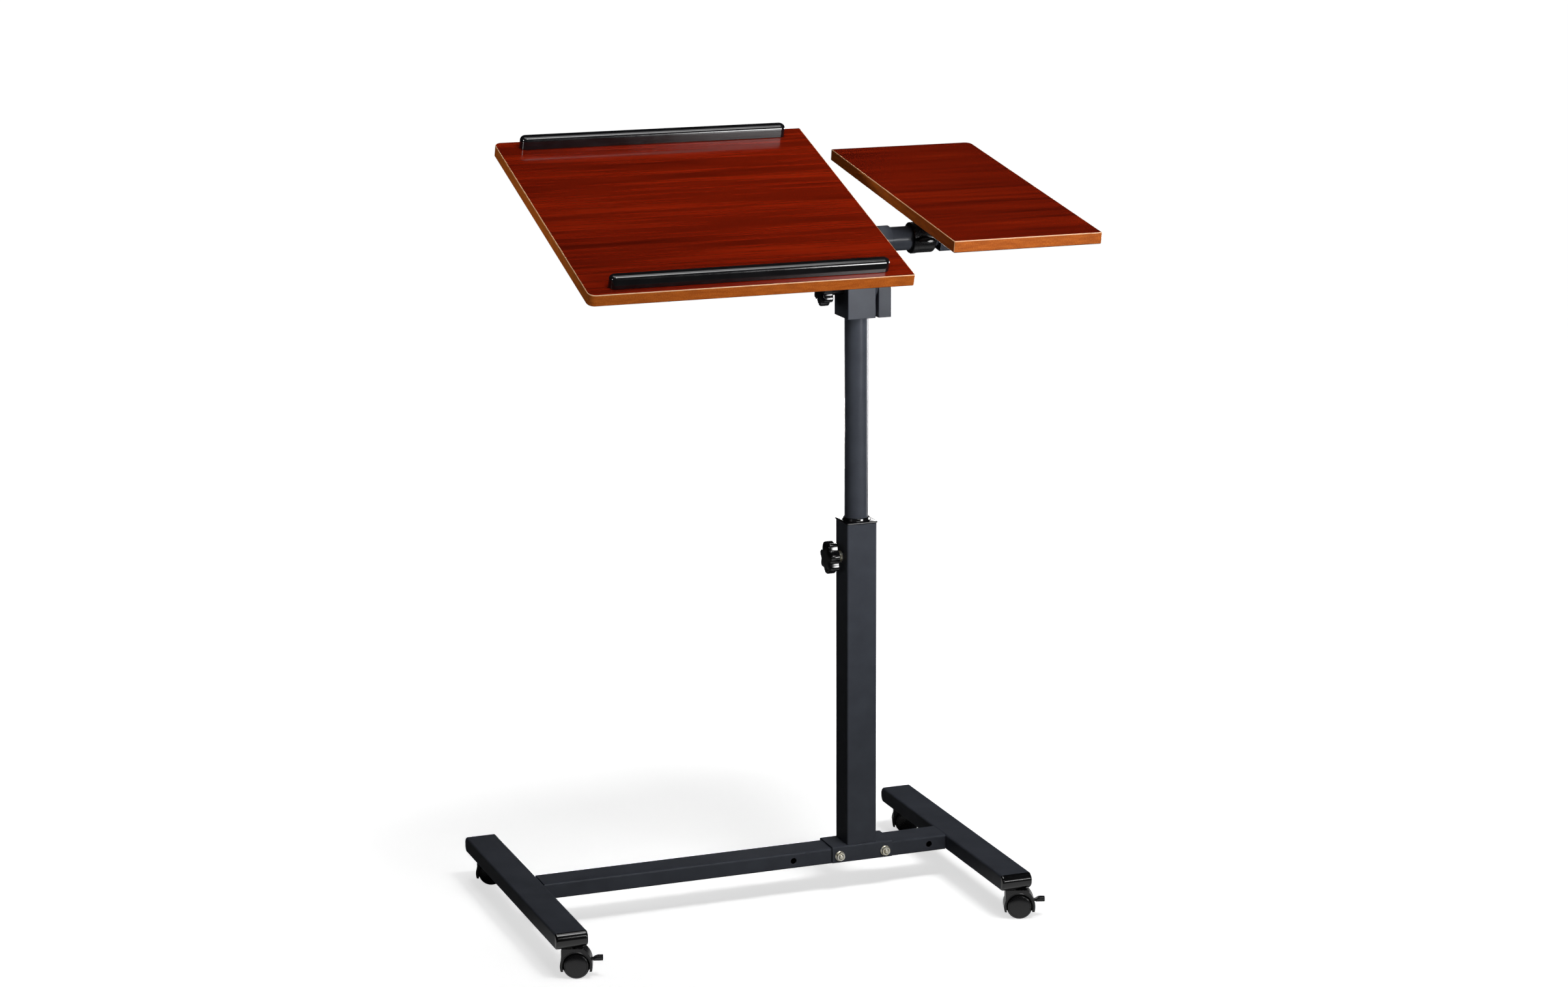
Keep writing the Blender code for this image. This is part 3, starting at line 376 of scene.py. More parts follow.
def zinc_plate():
    """Yellow passivated zinc, from silver to pale gold."""
    made, tree, shader, place = finish_base("yellow_zinc_plate")
    cloud = speckle(tree, place, 260.0, 4.0)
    tinted(tree, shader, cloud,
           [(0.3, (0.70, 0.62, 0.40)), (0.5, (0.80, 0.77, 0.64)), (0.7, (0.84, 0.83, 0.79))])
    polished(tree, shader, cloud, 0.28, 0.42)
    embossed(tree, shader, speckle(tree, place, 1500.0), 0.00005, 0.2)
    shader.inputs["Metallic"].default_value = 0.75
    return made


def named_tree(name, inputs):
    """Geometry tree with named inputs that ends in Realize Instances and Set Material."""
    tree = bpy.data.node_groups.new(name, "GeometryNodeTree")
    for label, kind in inputs + [("Finish", "Material")]:
        tree.interface.new_socket(label, in_out="INPUT", socket_type="NodeSocket" + kind)
    tree.interface.new_socket("Geometry", in_out="OUTPUT", socket_type="NodeSocketGeometry")
    given = tree.nodes.new("NodeGroupInput")
    real = tree.nodes.new("GeometryNodeRealizeInstances")
    paint = tree.nodes.new("GeometryNodeSetMaterial")
    tree.links.new(real.outputs["Geometry"], paint.inputs["Geometry"])
    tree.links.new(given.outputs["Finish"], paint.inputs["Material"])
    tree.links.new(paint.outputs["Geometry"], tree.nodes.new("NodeGroupOutput").inputs["Geometry"])
    return tree, given.outputs, real.inputs["Geometry"]


def grown(name, tree, **values):
    """Plain mesh that a geometry tree makes from its named inputs."""
    holder = linked(name, bpy.data.meshes.new(name))
    modifier = holder.modifiers.new("Tree", "NODES")
    modifier.node_group = tree
    for item in tree.interface.items_tree:
        key = item.name.replace(" ", "_").lower()
        if item.in_out == "INPUT" and key in values:
            modifier[item.identifier] = values[key]
    graph = bpy.context.evaluated_depsgraph_get()
    mesh = bpy.data.meshes.new_from_object(holder.evaluated_get(graph))
    holder.modifiers.remove(modifier)
    bpy.data.objects.remove(holder)
    return mesh


def thread_tree():
    """Screw thread: a small profile carried along a helix about Z."""
    tree, given, end = named_tree("Thread", [("Turns", "Float"), ("Radius", "Float"), ("Length", "Float"),
                                             ("Crest", "Float")])
    link, new = tree.links.new, tree.nodes.new
    helix = new("GeometryNodeCurveSpiral")
    helix.inputs["Resolution"].default_value = 24
    crest = new("GeometryNodeCurvePrimitiveCircle")
    crest.inputs["Resolution"].default_value = 4
    sweep = new("GeometryNodeCurveToMesh")
    sweep.inputs["Fill Caps"].default_value = True
    for name, target in (("Turns", "Rotations"), ("Radius", "Start Radius"), ("Radius", "End Radius"),
                         ("Length", "Height")):
        link(given[name], helix.inputs[target])
    link(given["Crest"], crest.inputs["Radius"])
    link(helix.outputs["Curve"], sweep.inputs["Curve"])
    link(crest.outputs["Curve"], sweep.inputs["Profile Curve"])
    link(sweep.outputs["Mesh"], end)
    return tree


def fastener_tree():
    """Like fasteners set out on a grid round zero."""
    tree, given, end = named_tree("Fastener grid", [
        ("Pattern", "Object"), ("Columns", "Int"), ("Rows", "Int"), ("Width", "Float"), ("Depth", "Float")])
    link, new = tree.links.new, tree.nodes.new
    grid = new("GeometryNodeMeshGrid")
    info = new("GeometryNodeObjectInfo")
    put = new("GeometryNodeInstanceOnPoints")
    for name, target in (("Columns", "Vertices X"), ("Rows", "Vertices Y"), ("Width", "Size X"),
                         ("Depth", "Size Y")):
        link(given[name], grid.inputs[target])
    link(given["Pattern"], info.inputs["Object"])
    link(grid.outputs["Mesh"], put.inputs["Points"])
    link(info.outputs["Geometry"], put.inputs["Instance"])
    link(put.outputs["Instances"], end)
    return tree


def hexagon(width, count=48, round_off=1.0):
    """Hexagon across flats, its corners held inside a circle of round_off times the corner radius."""
    points = []
    for i in range(count):
        angle = 2 * math.pi * i / count
        nearest = (angle + math.pi / 6) % (math.pi / 3) - math.pi / 6
        radius = min(width / 2 / math.cos(nearest), width / math.sqrt(3) * round_off)
        points.append((radius * math.cos(angle), radius * math.sin(angle)))
    return points


def repeated(name, tree, bm, finish, place, **values):
    """Piece that a geometry tree makes by repeating a finished body, moved to its place."""
    pattern = linked("pattern", meshed("pattern", bm))
    made = grown(name, tree, pattern=pattern, finish=finish, **values)
    bpy.data.objects.remove(pattern)
    made.transform(place)
    return shaped(name, made, [finish])


zinc = zinc_plate()
thread = thread_tree()
fasteners = fastener_tree()
bolt_low, bolt_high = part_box("saddle_bolt_left")
nut_low, nut_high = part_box("saddle_nut_left")
row_middle = Matrix.Translation((column_x, 0.0, bar_middle.z))
bolt_row = {"columns": 2, "rows": 1, "width": bolt_pitch, "depth": 0.0}
nut = skin("Y", [
    (nut_high.y, ring(BOLT_RADIUS + FIT)), (nut_high.y, ring(NUT_FLANGE / 2)),
    (nut_high.y - 0.0006, ring(NUT_FLANGE / 2)), (nut_high.y - 0.0015, hexagon(NUT_WIDTH * 1.04, 48, 0.97)),
    (nut_high.y - 0.0018, hexagon(NUT_WIDTH)), (nut_low.y + 0.0006, hexagon(NUT_WIDTH)),
    (nut_low.y, hexagon(NUT_WIDTH, 48, 0.88)), (nut_low.y, ring(BOLT_RADIUS + 0.0005)),
    (nut_low.y + 0.0006, ring(BOLT_RADIUS + FIT))], closed=True)
nuts = repeated("saddle_nuts", fasteners, nut, zinc, row_middle, **bolt_row)
settle(nuts, "base", "yellow_zinc", "saddle_nut_left", "saddle_nut_right")
seat = bolt_high.y - 0.005
bolt = skin("Y", [
    (bolt_low.y, ring(BOLT_RADIUS * 0.62)), (bolt_low.y + 0.0006, ring(BOLT_RADIUS * 0.86)),
    (seat, ring(BOLT_RADIUS * 0.86)), (seat, ring(NUT_FLANGE / 2)), (seat + 0.0006, ring(NUT_FLANGE / 2)),
    (seat + 0.0015, hexagon(NUT_WIDTH * 1.04, 48, 0.97)), (seat + 0.0018, hexagon(NUT_WIDTH)),
    (bolt_high.y - 0.0006, hexagon(NUT_WIDTH)), (bolt_high.y, hexagon(NUT_WIDTH, 48, 0.88)),
    (bolt_high.y, ring(NUT_WIDTH * 0.34)), (bolt_high.y - 0.0004, ring(NUT_WIDTH * 0.30))])
coil = grown("bolt_thread", thread, turns=10.0, radius=BOLT_RADIUS * 0.88, length=0.010,
             crest=THREAD_CREST, finish=zinc)
coil.transform(Matrix.Translation((0.0, bolt_low.y + 0.0007, 0.0)) @ Matrix.Rotation(-math.pi / 2, 4, "X"))
bolt.from_mesh(coil)
bolts = repeated("saddle_bolts", fasteners, bolt, zinc, row_middle, **bolt_row)
settle(bolts, "base", "yellow_zinc", "saddle_bolt_left", "saddle_bolt_right")


# Column
# Square steel tube that stands on the saddle, welded round its foot and powder coated black.
# Its left side has a hole for the height knob's stud.
STUD_HOLE = 0.0043
low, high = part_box("column")
column_middle, size = (low + high) / 2, high - low
knob_axis = joints["height_knob_turn"]
tube = square_tube("Z", size.x, size.y, size.z, 8)
hole = turned("X", [(STUD_HOLE, -size.x), (STUD_HOLE, 0.0)], 24, (0.0, knob_axis.z - column_middle.z))
column = made_from("column_tube", carved(tube, hole), powder, Matrix.Translation(column_middle))
settle(column, "base", "powder_black", "column")


# Column cap
# Moulded guide in the column's mouth, of glossy black plastic: a square flange on the tube's end,
# a low round collar that guides the pole, and a sleeve inside the tube.
CAP_FLANGE_SHEET = 0.002
GUIDE_BORE = 0.0153
low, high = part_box("column_cap")
cap_middle = (low + high) / 2
flange = high.x - low.x
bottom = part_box("column")[1].z + FIT
top = bottom + CAP_FLANGE_SHEET
bore = ring(GUIDE_BORE)
sleeve = rounded(size.x - 2 * FOOT_WALL - PLUG_PLAY, size.y - 2 * FOOT_WALL - PLUG_PLAY, PLUG_CORNER, 11)
stations = [(low.z, bore), (low.z, sleeve), (bottom, sleeve)]
for lift, drawn in ((0.0, 0.0006), (0.0002, 0.0002), (0.0006, 0.0), (0.0012, 0.0), (0.0017, 0.0003),
                    (0.002, 0.0009)):
    stations.append((bottom + lift, rounded(flange - 2 * drawn, flange - 2 * drawn, FOOT_CORNER, 11)))
for lift, radius in ((0.0, 0.0182), (0.0003, 0.0174), (0.0009, 0.0170), (0.0028, 0.0168), (0.0034, 0.0166),
                     (0.0037, 0.0162)):
    stations.append((top + lift, ring(radius)))
stations += [(top + 0.0037, ring(0.0157)), (top + 0.0033, bore)]
cap = made_from("column_guide", skin("Z", stations, closed=True), gloss,
                Matrix.Translation((cap_middle.x, cap_middle.y, 0.0)))
settle(cap, "base", "gloss_black", "column_cap")


# Height nut and height knob
# A zinc hexagon nut is welded over the hole in the column's left side, and a star knob of glossy
# black plastic turns in it: seven lobes on a short hub, with a steel stud moulded in.
KNOB_DIAMETER = 0.042
KNOB_DEPTH = 0.014
KNOB_SCALLOP = 0.0042
KNOB_HUB = 0.016
STUD_RADIUS = 0.004
STUD_NUT = 0.013
HEIGHT_HUB = 0.004
NUT_TURN = -12.0


def grip_tree():
    """Star grip about Z: a scalloped outline drawn up in steps, each scaled towards the middle."""
    tree, given, end = named_tree("Star grip", [
        ("Lobes", "Int"), ("Radius", "Float"), ("Depth", "Float"), ("Scallop", "Float")])
    link, new = tree.links.new, tree.nodes.new

    def worked(kind, operation, *values):
        node = new(kind)
        node.operation = operation
        for number, value in enumerate(values):
            if isinstance(value, (int, float)):
                node.inputs[number].default_value = value
            else:
                link(value, node.inputs[number])
        return node

    outline = new("GeometryNodeCurvePrimitiveCircle")
    points = worked("ShaderNodeMath", "MULTIPLY", given["Lobes"], 18.0)
    link(points.outputs[0], outline.inputs["Resolution"])
    link(given["Radius"], outline.inputs["Radius"])
    angle = worked("ShaderNodeMath", "MULTIPLY", new("GeometryNodeSplineParameter").outputs["Factor"],
                   2 * math.pi)
    wave = worked("ShaderNodeMath", "MULTIPLY", angle.outputs[0], given["Lobes"])
    wave = worked("ShaderNodeMath", "COSINE", wave.outputs[0])
    share = worked("ShaderNodeMath", "MULTIPLY_ADD", wave.outputs[0], 0.5, -0.5)
    depth = worked("ShaderNodeMath", "MULTIPLY", share.outputs[0], given["Scallop"])
    inward = worked("ShaderNodeVectorMath", "NORMALIZE", new("GeometryNodeInputPosition").outputs[0])
    push = worked("ShaderNodeVectorMath", "SCALE", inward.outputs[0])
    link(depth.outputs[0], push.inputs["Scale"])
    scallop = new("GeometryNodeSetPosition")
    link(outline.outputs["Curve"], scallop.inputs["Geometry"])
    link(push.outputs[0], scallop.inputs["Offset"])
    fill = new("GeometryNodeFillCurve")
    fill.mode = "NGONS"
    link(scallop.outputs["Geometry"], fill.inputs["Curve"])
    flip = new("GeometryNodeFlipFaces")
    link(fill.outputs["Mesh"], flip.inputs["Mesh"])
    body, selected = fill.outputs["Mesh"], None
    for rise, scale in ((0.04, 1.045), (0.06, 1.02), (0.30, 1.008), (0.32, 1.0), (0.10, 0.975), (0.07, 0.95),
                        (0.05, 0.90), (0.04, 0.80), (0.02, 0.70)):
        draw = new("GeometryNodeExtrudeMesh")
        draw.inputs["Individual"].default_value = False
        height = worked("ShaderNodeMath", "MULTIPLY", given["Depth"], rise)
        link(body, draw.inputs["Mesh"])
        link(height.outputs[0], draw.inputs["Offset Scale"])
        if selected:
            link(selected, draw.inputs["Selection"])
        narrow = new("GeometryNodeScaleElements")
        narrow.inputs["Scale"].default_value = scale
        link(draw.outputs["Mesh"], narrow.inputs["Geometry"])
        link(draw.outputs["Top"], narrow.inputs["Selection"])
        body, selected = narrow.outputs["Geometry"], draw.outputs["Top"]
    join = new("GeometryNodeJoinGeometry")
    link(flip.outputs["Mesh"], join.inputs["Geometry"])
    link(body, join.inputs["Geometry"])
    weld = new("GeometryNodeMergeByDistance")
    weld.inputs["Distance"].default_value = 0.00001
    link(join.outputs["Geometry"], weld.inputs["Geometry"])
    link(weld.outputs["Geometry"], end)
    return tree


def star_knob(name, node, place, hub):
    """Star knob whose hub meets the face at zero, with its grip towards -X and its stud towards +X."""
    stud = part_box(node)[1].x - place.x
    core = KNOB_HUB / 2
    knob = turned("X", [
        (STUD_RADIUS * 0.8, stud), (STUD_RADIUS, stud - 0.001), (STUD_RADIUS, 0.0), (core - 0.0005, 0.0),
        (core, -0.0005), (core, -hub + 0.0012), (core + 0.0004, -hub + 0.0004),
        (core + 0.0012, -hub - 0.0004)])
    grip = grown(name, star_grip, lobes=7, radius=KNOB_DIAMETER / 2 * 0.93, depth=KNOB_DEPTH,
                 scallop=KNOB_SCALLOP, finish=gloss)
    upright = Matrix.Rotation(math.pi, 4, "X") @ Matrix.Rotation(-math.pi / 2, 4, "Y")
    grip.transform(Matrix.Translation((-hub, 0.0, 0.0)) @ upright)
    knob.from_mesh(grip)
    bmesh.ops.recalc_face_normals(knob, faces=knob.faces)
    return made_from(name, knob, gloss, Matrix.Translation(place), crease=50.0)


star_grip = grip_tree()
low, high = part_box("height_nut")
stud_bore = ring(STUD_RADIUS + FIT)
nut = skin("X", [
    (low.x, stud_bore), (low.x, hexagon(STUD_NUT, 48, 0.90)), (low.x + 0.0006, hexagon(STUD_NUT)),
    (high.x, hexagon(STUD_NUT)), (high.x, stud_bore)], closed=True)
weld_nut = made_from("height_weld_nut", nut, zinc, Matrix.Translation((0.0, knob_axis.y, knob_axis.z))
                     @ Matrix.Rotation(math.radians(NUT_TURN), 4, "X"))
settle(weld_nut, "base", "yellow_zinc", "height_nut")
height_star = star_knob("height_star_knob", "height_knob", knob_axis, HEIGHT_HUB)
settle(height_star, "height_grip", "gloss_black", "height_knob")


# Pole and glide
# Round steel tube that slides and turns in the column, powder coated black, open at both ends.
# A square glide of soft black plastic on its lower end keeps it straight inside the column.
POLE_WALL = 0.002
TUBE_EASE = 0.0004


def round_tube(axis, radius, bore, start, end, centre=(0.0, 0.0)):
    """Round tube whose outer ends are eased."""
    profile = [(radius - TUBE_EASE, start), (radius, start + TUBE_EASE), (radius, end - TUBE_EASE),
               (radius - TUBE_EASE, end), (bore, end), (bore, start)]
    return turned(axis, profile, 96, centre, closed=True)


def refinish(node, finish):
    """Give a solid that stays in view its finish."""
    finishes = frame["nodes"][node].data.materials
    finishes.clear()
    finishes.append(finish)


def soft_plastic():
    """Satin black moulded plastic with a fine spark texture."""
    made, tree, shader, place = finish_base("satin_black_plastic")
    spark = speckle(tree, place, 1400.0)
    tinted(tree, shader, speckle(tree, place, 90.0, 3.0),
           [(0.3, (0.005, 0.005, 0.006)), (0.7, (0.009, 0.009, 0.010))])
    polished(tree, shader, spark, 0.20, 0.30)
    embossed(tree, shader, spark, 0.0001, 0.12)
    shader.inputs["Specular IOR Level"].default_value = 0.50
    return made


soft = soft_plastic()
low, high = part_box("pole")
radius = (high.x - low.x) / 2
swivel = joints["top_swivel"]
pole = round_tube("Z", radius, radius - POLE_WALL, low.z, high.z)
hole = turned("X", [(STUD_HOLE, -0.03), (STUD_HOLE, 0.03)], 24, (0.0, joints["main_tilt"].z))
pole = made_from("pole_tube", carved(pole, hole), powder, Matrix.Translation((swivel.x, swivel.y, 0.0)))
settle(pole, "post", "powder_black", "pole")
refinish("pole_glide", soft)


# Tilt head
# A square steel sleeve on the pole's top and a loose rectangular jaw beside it, both powder coated.
# The tilt knob's stud goes through both and draws them together on the leaf between them.
HEAD_CORNER = 0.0011
HEAD_EASE = 0.0004
TILT_HUB = 0.0182
head_pieces = (("head_sleeve", 0.0032), ("clamp_jaw", 0.0020))
pivot = joints["main_tilt"]
for node, wall in head_pieces:
    low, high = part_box(node)
    middle, size = (low + high) / 2, high - low
    outside = rounded(size.x, size.y, HEAD_CORNER)
    inside = rounded(size.x - 2 * wall, size.y - 2 * wall, HEAD_CORNER / 2)
    eased = rounded(size.x - 2 * HEAD_EASE, size.y - 2 * HEAD_EASE, HEAD_CORNER - HEAD_EASE)
    half = size.z / 2
    box = skin("Z", [(-half, eased), (-half + HEAD_EASE, outside), (half - HEAD_EASE, outside),
                     (half, eased), (half, inside), (-half, inside)], closed=True)
    hole = turned("X", [(STUD_HOLE, -0.04), (STUD_HOLE, 0.04)], 24, (pivot.y - middle.y, pivot.z - middle.z))
    piece = made_from(node + "_box", carved(box, hole), powder, Matrix.Translation(middle))
    settle(piece, "post", "powder_black", node)
low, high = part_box("tilt_nut")
nut = skin("X", [
    (low.x, stud_bore), (low.x, hexagon(STUD_NUT)), (high.x - 0.0006, hexagon(STUD_NUT)),
    (high.x, hexagon(STUD_NUT, 48, 0.90)), (high.x, stud_bore)], closed=True)
lock_nut = made_from("tilt_lock_nut", nut, zinc, Matrix.Translation((0.0, pivot.y, pivot.z)))
settle(lock_nut, "post", "yellow_zinc", "tilt_nut")
tilt_star = star_knob("tilt_star_knob", "tilt_knob", joints["tilt_knob_turn"], TILT_HUB)
settle(tilt_star, "tilt_grip", "gloss_black", "tilt_knob")


# Tilt leaf and arm
# A flat steel leaf swings between sleeve and jaw and carries a round steel tube in its eye, welded
# at a turned boss. Both are powder coated and carry the main top.
LEAF_SHEET = 0.003
ARM_BORE = 0.0130
facing = {mount["name"]: mount["axis"] for mount in frame["record"]["mounts"]}
ledge = facing["laptop_ledge"]
main_place = Matrix.Translation(pivot) @ Matrix.Rotation(math.atan2(ledge[2], ledge[1]), 4, "X")


def spread(node, place):
    """Lowest and highest corners of a solid in a tilted or turned place."""
    back = place.inverted()
    corners = [back @ vertex.co for vertex in frame["nodes"][node].data.vertices]
    return [Vector([pick(corner[i] for corner in corners) for i in range(3)]) for pick in (min, max)]


arm_low, arm_high = spread("arm_tube", main_place)
leaf_low, leaf_high = spread("tilt_leaf", main_place)
arm_z = (arm_low.z + arm_high.z) / 2
arm_radius = (arm_high.z - arm_low.z) / 2
toe, eye = -leaf_low.z, leaf_high.z - arm_z
slope = math.asin((toe - eye) / arm_z)
outline = []
for centre, size, start, end in (
        (0.0, toe, math.pi - slope, 2 * math.pi + slope), (arm_z, eye, slope, math.pi - slope)):
    for step in range(25):
        angle = start + (end - start) * step / 24
        outline.append((size * math.cos(angle), centre + size * math.sin(angle)))
leaf = skin("X", [(leaf_low.x, outline), (leaf_low.x + LEAF_SHEET, outline)])
boss = turned("X", [
    (arm_radius + 0.0023, leaf_low.x + 0.001), (arm_radius + 0.0023, leaf_high.x - 0.0008),
    (arm_radius + 0.0015, leaf_high.x)], 64, (0.0, arm_z))
leaf = carved(leaf, boss, "UNION")
holes = turned("X", [(STUD_HOLE, -0.1), (STUD_HOLE, 0.1)], 24)
turned("X", [(arm_radius + FIT, -0.1), (arm_radius + FIT, 0.1)], 64, (0.0, arm_z), bm=holes)
leaf = made_from("tilt_leaf_plate", carved(leaf, holes), powder, main_place)
settle(leaf, "carrier", "powder_black", "tilt_leaf")
arm = round_tube("X", arm_radius, ARM_BORE, arm_low.x, arm_high.x, (0.0, arm_z))
settle(made_from("arm_round_tube", arm, powder, main_place), "carrier", "powder_black", "arm_tube")


# Brackets
# Steel sheet folded into a channel that wraps a tube from below, with two flanges screwed under a
# top. The long one holds the main top on the arm and the short one the side top on its tube.
BRACKET_SHEET = 0.0025
BRACKET_FLANGE = 0.030
rest = facing["side_rest"]
side_place = (Matrix.Translation(joints["side_tilt"])
              @ Matrix.Rotation(math.atan2(-rest[1], rest[2]), 4, "X"))


def folded(node, place):
    """Folded channel with round bends, between the ends of a bracket's solid."""
    low, high = spread(node, place)
    edge, top = high.y, high.z
    out = edge - BRACKET_FLANGE
    inner = out - BRACKET_SHEET
    under, bottom = top - BRACKET_SHEET, low.z
    small, large = 0.0015, 0.0040
    outline = [(-edge, top), (-edge, under)]
    outline += reversed(quarter(-out - small, under - small, small, 0))
    outline += quarter(-out + large, bottom + large, large, 2)
    outline += quarter(out - large, bottom + large, large, 3)
    outline += reversed(quarter(out + small, under - small, small, 1))
    outline += [(edge, under), (edge, top)]
    outline += quarter(inner + large, top - large, large, 1)
    outline += reversed(quarter(inner - small, bottom + BRACKET_SHEET + small, small, 3))
    outline += reversed(quarter(-inner + small, bottom + BRACKET_SHEET + small, small, 2))
    outline += quarter(-inner - large, top - large, large, 0)
    return skin("X", [(low.x, outline), (high.x, outline)])


for node, place, body in (("main_bracket", main_place, "carrier"), ("side_bracket", side_place, "side")):
    piece = made_from(node + "_channel", folded(node, place), powder, place, soften=SHEET_EASE)
    settle(piece, body, "powder_black", node)


# Bracket screws
# Four zinc pan-head screws with a cross recess go up through each bracket's flanges into the top.
# They are rolled from plated wire, with a coarse thread that bites into the board.
SCREW_HEAD = 0.0043
SCREW_SHANK = 0.002
SCREW_SEAT = 0.0026
for name, place, body in (("main", main_place, "carrier"), ("side", side_place, "side")):
    nodes = ["%s_screw_%d" % (name, i) for i in (1, 2, 3, 4)]
    corners = [spread(node, place) for node in nodes]
    low = Vector([min(c[0][i] for c in corners) for i in range(3)])
    high = Vector([max(c[1][i] for c in corners) for i in range(3)])
    tall = high.z - low.z
    screw = turned("Z", [
        (SCREW_HEAD * 0.50, 0.0), (SCREW_HEAD * 0.72, 0.00025), (SCREW_HEAD * 0.90, 0.0008),
        (SCREW_HEAD, 0.0017), (SCREW_HEAD, SCREW_SEAT), (SCREW_SHANK * 0.8, SCREW_SEAT),
        (SCREW_SHANK * 0.8, tall - 0.004), (SCREW_SHANK * 0.15, tall)], 24)
    recess = skin("Z", [(-0.001, rounded(0.0044, 0.0009, 0.0002, 2)),
                        (0.0016, rounded(0.0026, 0.0007, 0.0002, 2))])
    skin("Z", [(-0.0011, rounded(0.0009, 0.0044, 0.0002, 2)),
               (0.0015, rounded(0.0007, 0.0026, 0.0002, 2))], bm=recess)
    screw = carved(screw, recess)
    coil = grown("screw_thread", thread, turns=7.0, radius=SCREW_SHANK * 0.82, length=tall - 0.0075,
                 crest=THREAD_CREST, finish=zinc)
    coil.transform(Matrix.Translation((0.0, 0.0, SCREW_SEAT + 0.0004)))
    screw.from_mesh(coil)
    width, depth = high.x - low.x - 2 * SCREW_HEAD, high.y - low.y - 2 * SCREW_HEAD
    middle = (low + high) / 2
    at = place @ Matrix.Translation((middle.x, middle.y, low.z))
    screws = repeated(name + "_top_screws", fasteners, screw, zinc, at, columns=2, rows=2,
                      width=width, depth=depth)
    settle(screws, body, "yellow_zinc", *nodes)


# Tops
# Two boards faced with glossy dark mahogany laminate whose grain runs from left to right, with an
# orange-brown edge band, a thin pale line of painted highlight at its upper edge and a plain brown backing below.
TOP_EASE = 0.0009
TOP_CORNER = 0.009
TOP_SQUARE = 0.0015
LAMINATE = 0.0005
SHEET_GAP = 0.00005
CORNER_HIGHLIGHT_REACH = 0.00075
STEPS = 12


def blended(tree, *shares):
    """Sum of (value, share) pairs."""
    total = None
    for value, share in shares:
        part = tree.nodes.new("ShaderNodeMath")
        part.operation = "MULTIPLY_ADD" if total else "MULTIPLY"
        part.inputs[1].default_value = share
        tree.links.new(value, part.inputs[0])
        if total:
            tree.links.new(total, part.inputs[2])
        total = part.outputs[0]
    return total


def mahogany_laminate():
    """Dark red wood print under a clear gloss, with broad bands and fine streaks along the grain."""
    made, tree, shader, place = finish_base("mahogany_laminate", "grain")
    broad = speckle(tree, place, 1.0, 2.0, (1.6, 26.0, 1.0))
    streak = speckle(tree, place, 1.0, 3.0, (3.0, 95.0, 1.0))
    fibre = speckle(tree, place, 1.0, 4.0, (9.0, 430.0, 1.0))
    tinted(tree, shader, blended(tree, (broad, 0.36), (streak, 0.34), (fibre, 0.30)), [
        (0.37, (0.046, 0.0024, 0.0004)), (0.46, (0.110, 0.0054, 0.0007)), (0.54, (0.156, 0.0078, 0.0009)),
        (0.63, (0.220, 0.0130, 0.0015))])
    polished(tree, shader, fibre, 0.10, 0.18)
    embossed(tree, shader, fibre, 0.00003, 0.10)
    shader.inputs["Coat Weight"].default_value = 0.16
    shader.inputs["Coat Roughness"].default_value = 0.05
    return made


def edge_band():
    """Orange-brown wood band, finely mottled with short upright streaks."""
    made, tree, shader, place = finish_base("orange_brown_edge_band", "grain")
    cloud = speckle(tree, place, 1.0, 3.0, (50.0, 260.0, 1.0))
    streak = speckle(tree, place, 1.0, 2.0, (900.0, 420.0, 1.0))
    grain = blended(tree, (cloud, 0.5), (streak, 0.5))
    tinted(tree, shader, grain,
           [(0.34, (0.28, 0.061, 0.008)), (0.5, (0.37, 0.088, 0.011)), (0.66, (0.47, 0.122, 0.016))])
    polished(tree, shader, grain, 0.40, 0.55)
    embossed(tree, shader, streak, 0.00004, 0.2)
    shader.inputs["Specular IOR Level"].default_value = 0.08
    return made


def painted_edge_highlight():
    """Pale line where the laminate and the band meet, a painted highlight on the band's eased upper edge."""
    made, tree, shader, place = finish_base("pale_band_edge")
    highlight_mottle = speckle(tree, place, 160.0, 3.0)
    # These pale colours are a painted highlight, mottled at random.
    tinted(tree, shader, highlight_mottle, [(0.3, (0.54, 0.29, 0.14)), (0.7, (0.66, 0.42, 0.25))])
    polished(tree, shader, highlight_mottle, 0.35, 0.5)
    return made


def backing_paper():
    """Plain dark brown backing on the underside."""
    made, tree, shader, place = finish_base("brown_backing")
    fleck = speckle(tree, place, 420.0, 4.0)
    tinted(tree, shader, fleck, [(0.3, (0.030, 0.014, 0.008)), (0.7, (0.050, 0.024, 0.014))])
    polished(tree, shader, fleck, 0.5, 0.65)
    return made


def top_outline(low, high, radii, inset):
    """Rectangle anticlockwise from the front left corner, each corner with its own radius."""
    points = []
    ends = ((low.x, low.y, 2), (high.x, low.y, 3), (high.x, high.y, 0), (low.x, high.y, 1))
    for (x, y, start), radius in zip(ends, radii):
        a = x + radius if x == low.x else x - radius
        b = y + radius if y == low.y else y - radius
        points += quarter(a, b, radius - inset, start, STEPS)
    return points


def mapped(bm):
    """Map the grain by the board's own lengths: along X on its faces, along the band on its edges."""
    layer = bm.loops.layers.uv.new("grain")
    for face in bm.faces:
        flat = abs(face.normal.z) > 0.5
        along = 1 if abs(face.normal.x) > abs(face.normal.y) and not flat else 0
        for corner in face.loops:
            point = corner.vert.co
            corner[layer].uv = (point[along], point.y if flat else point.z)


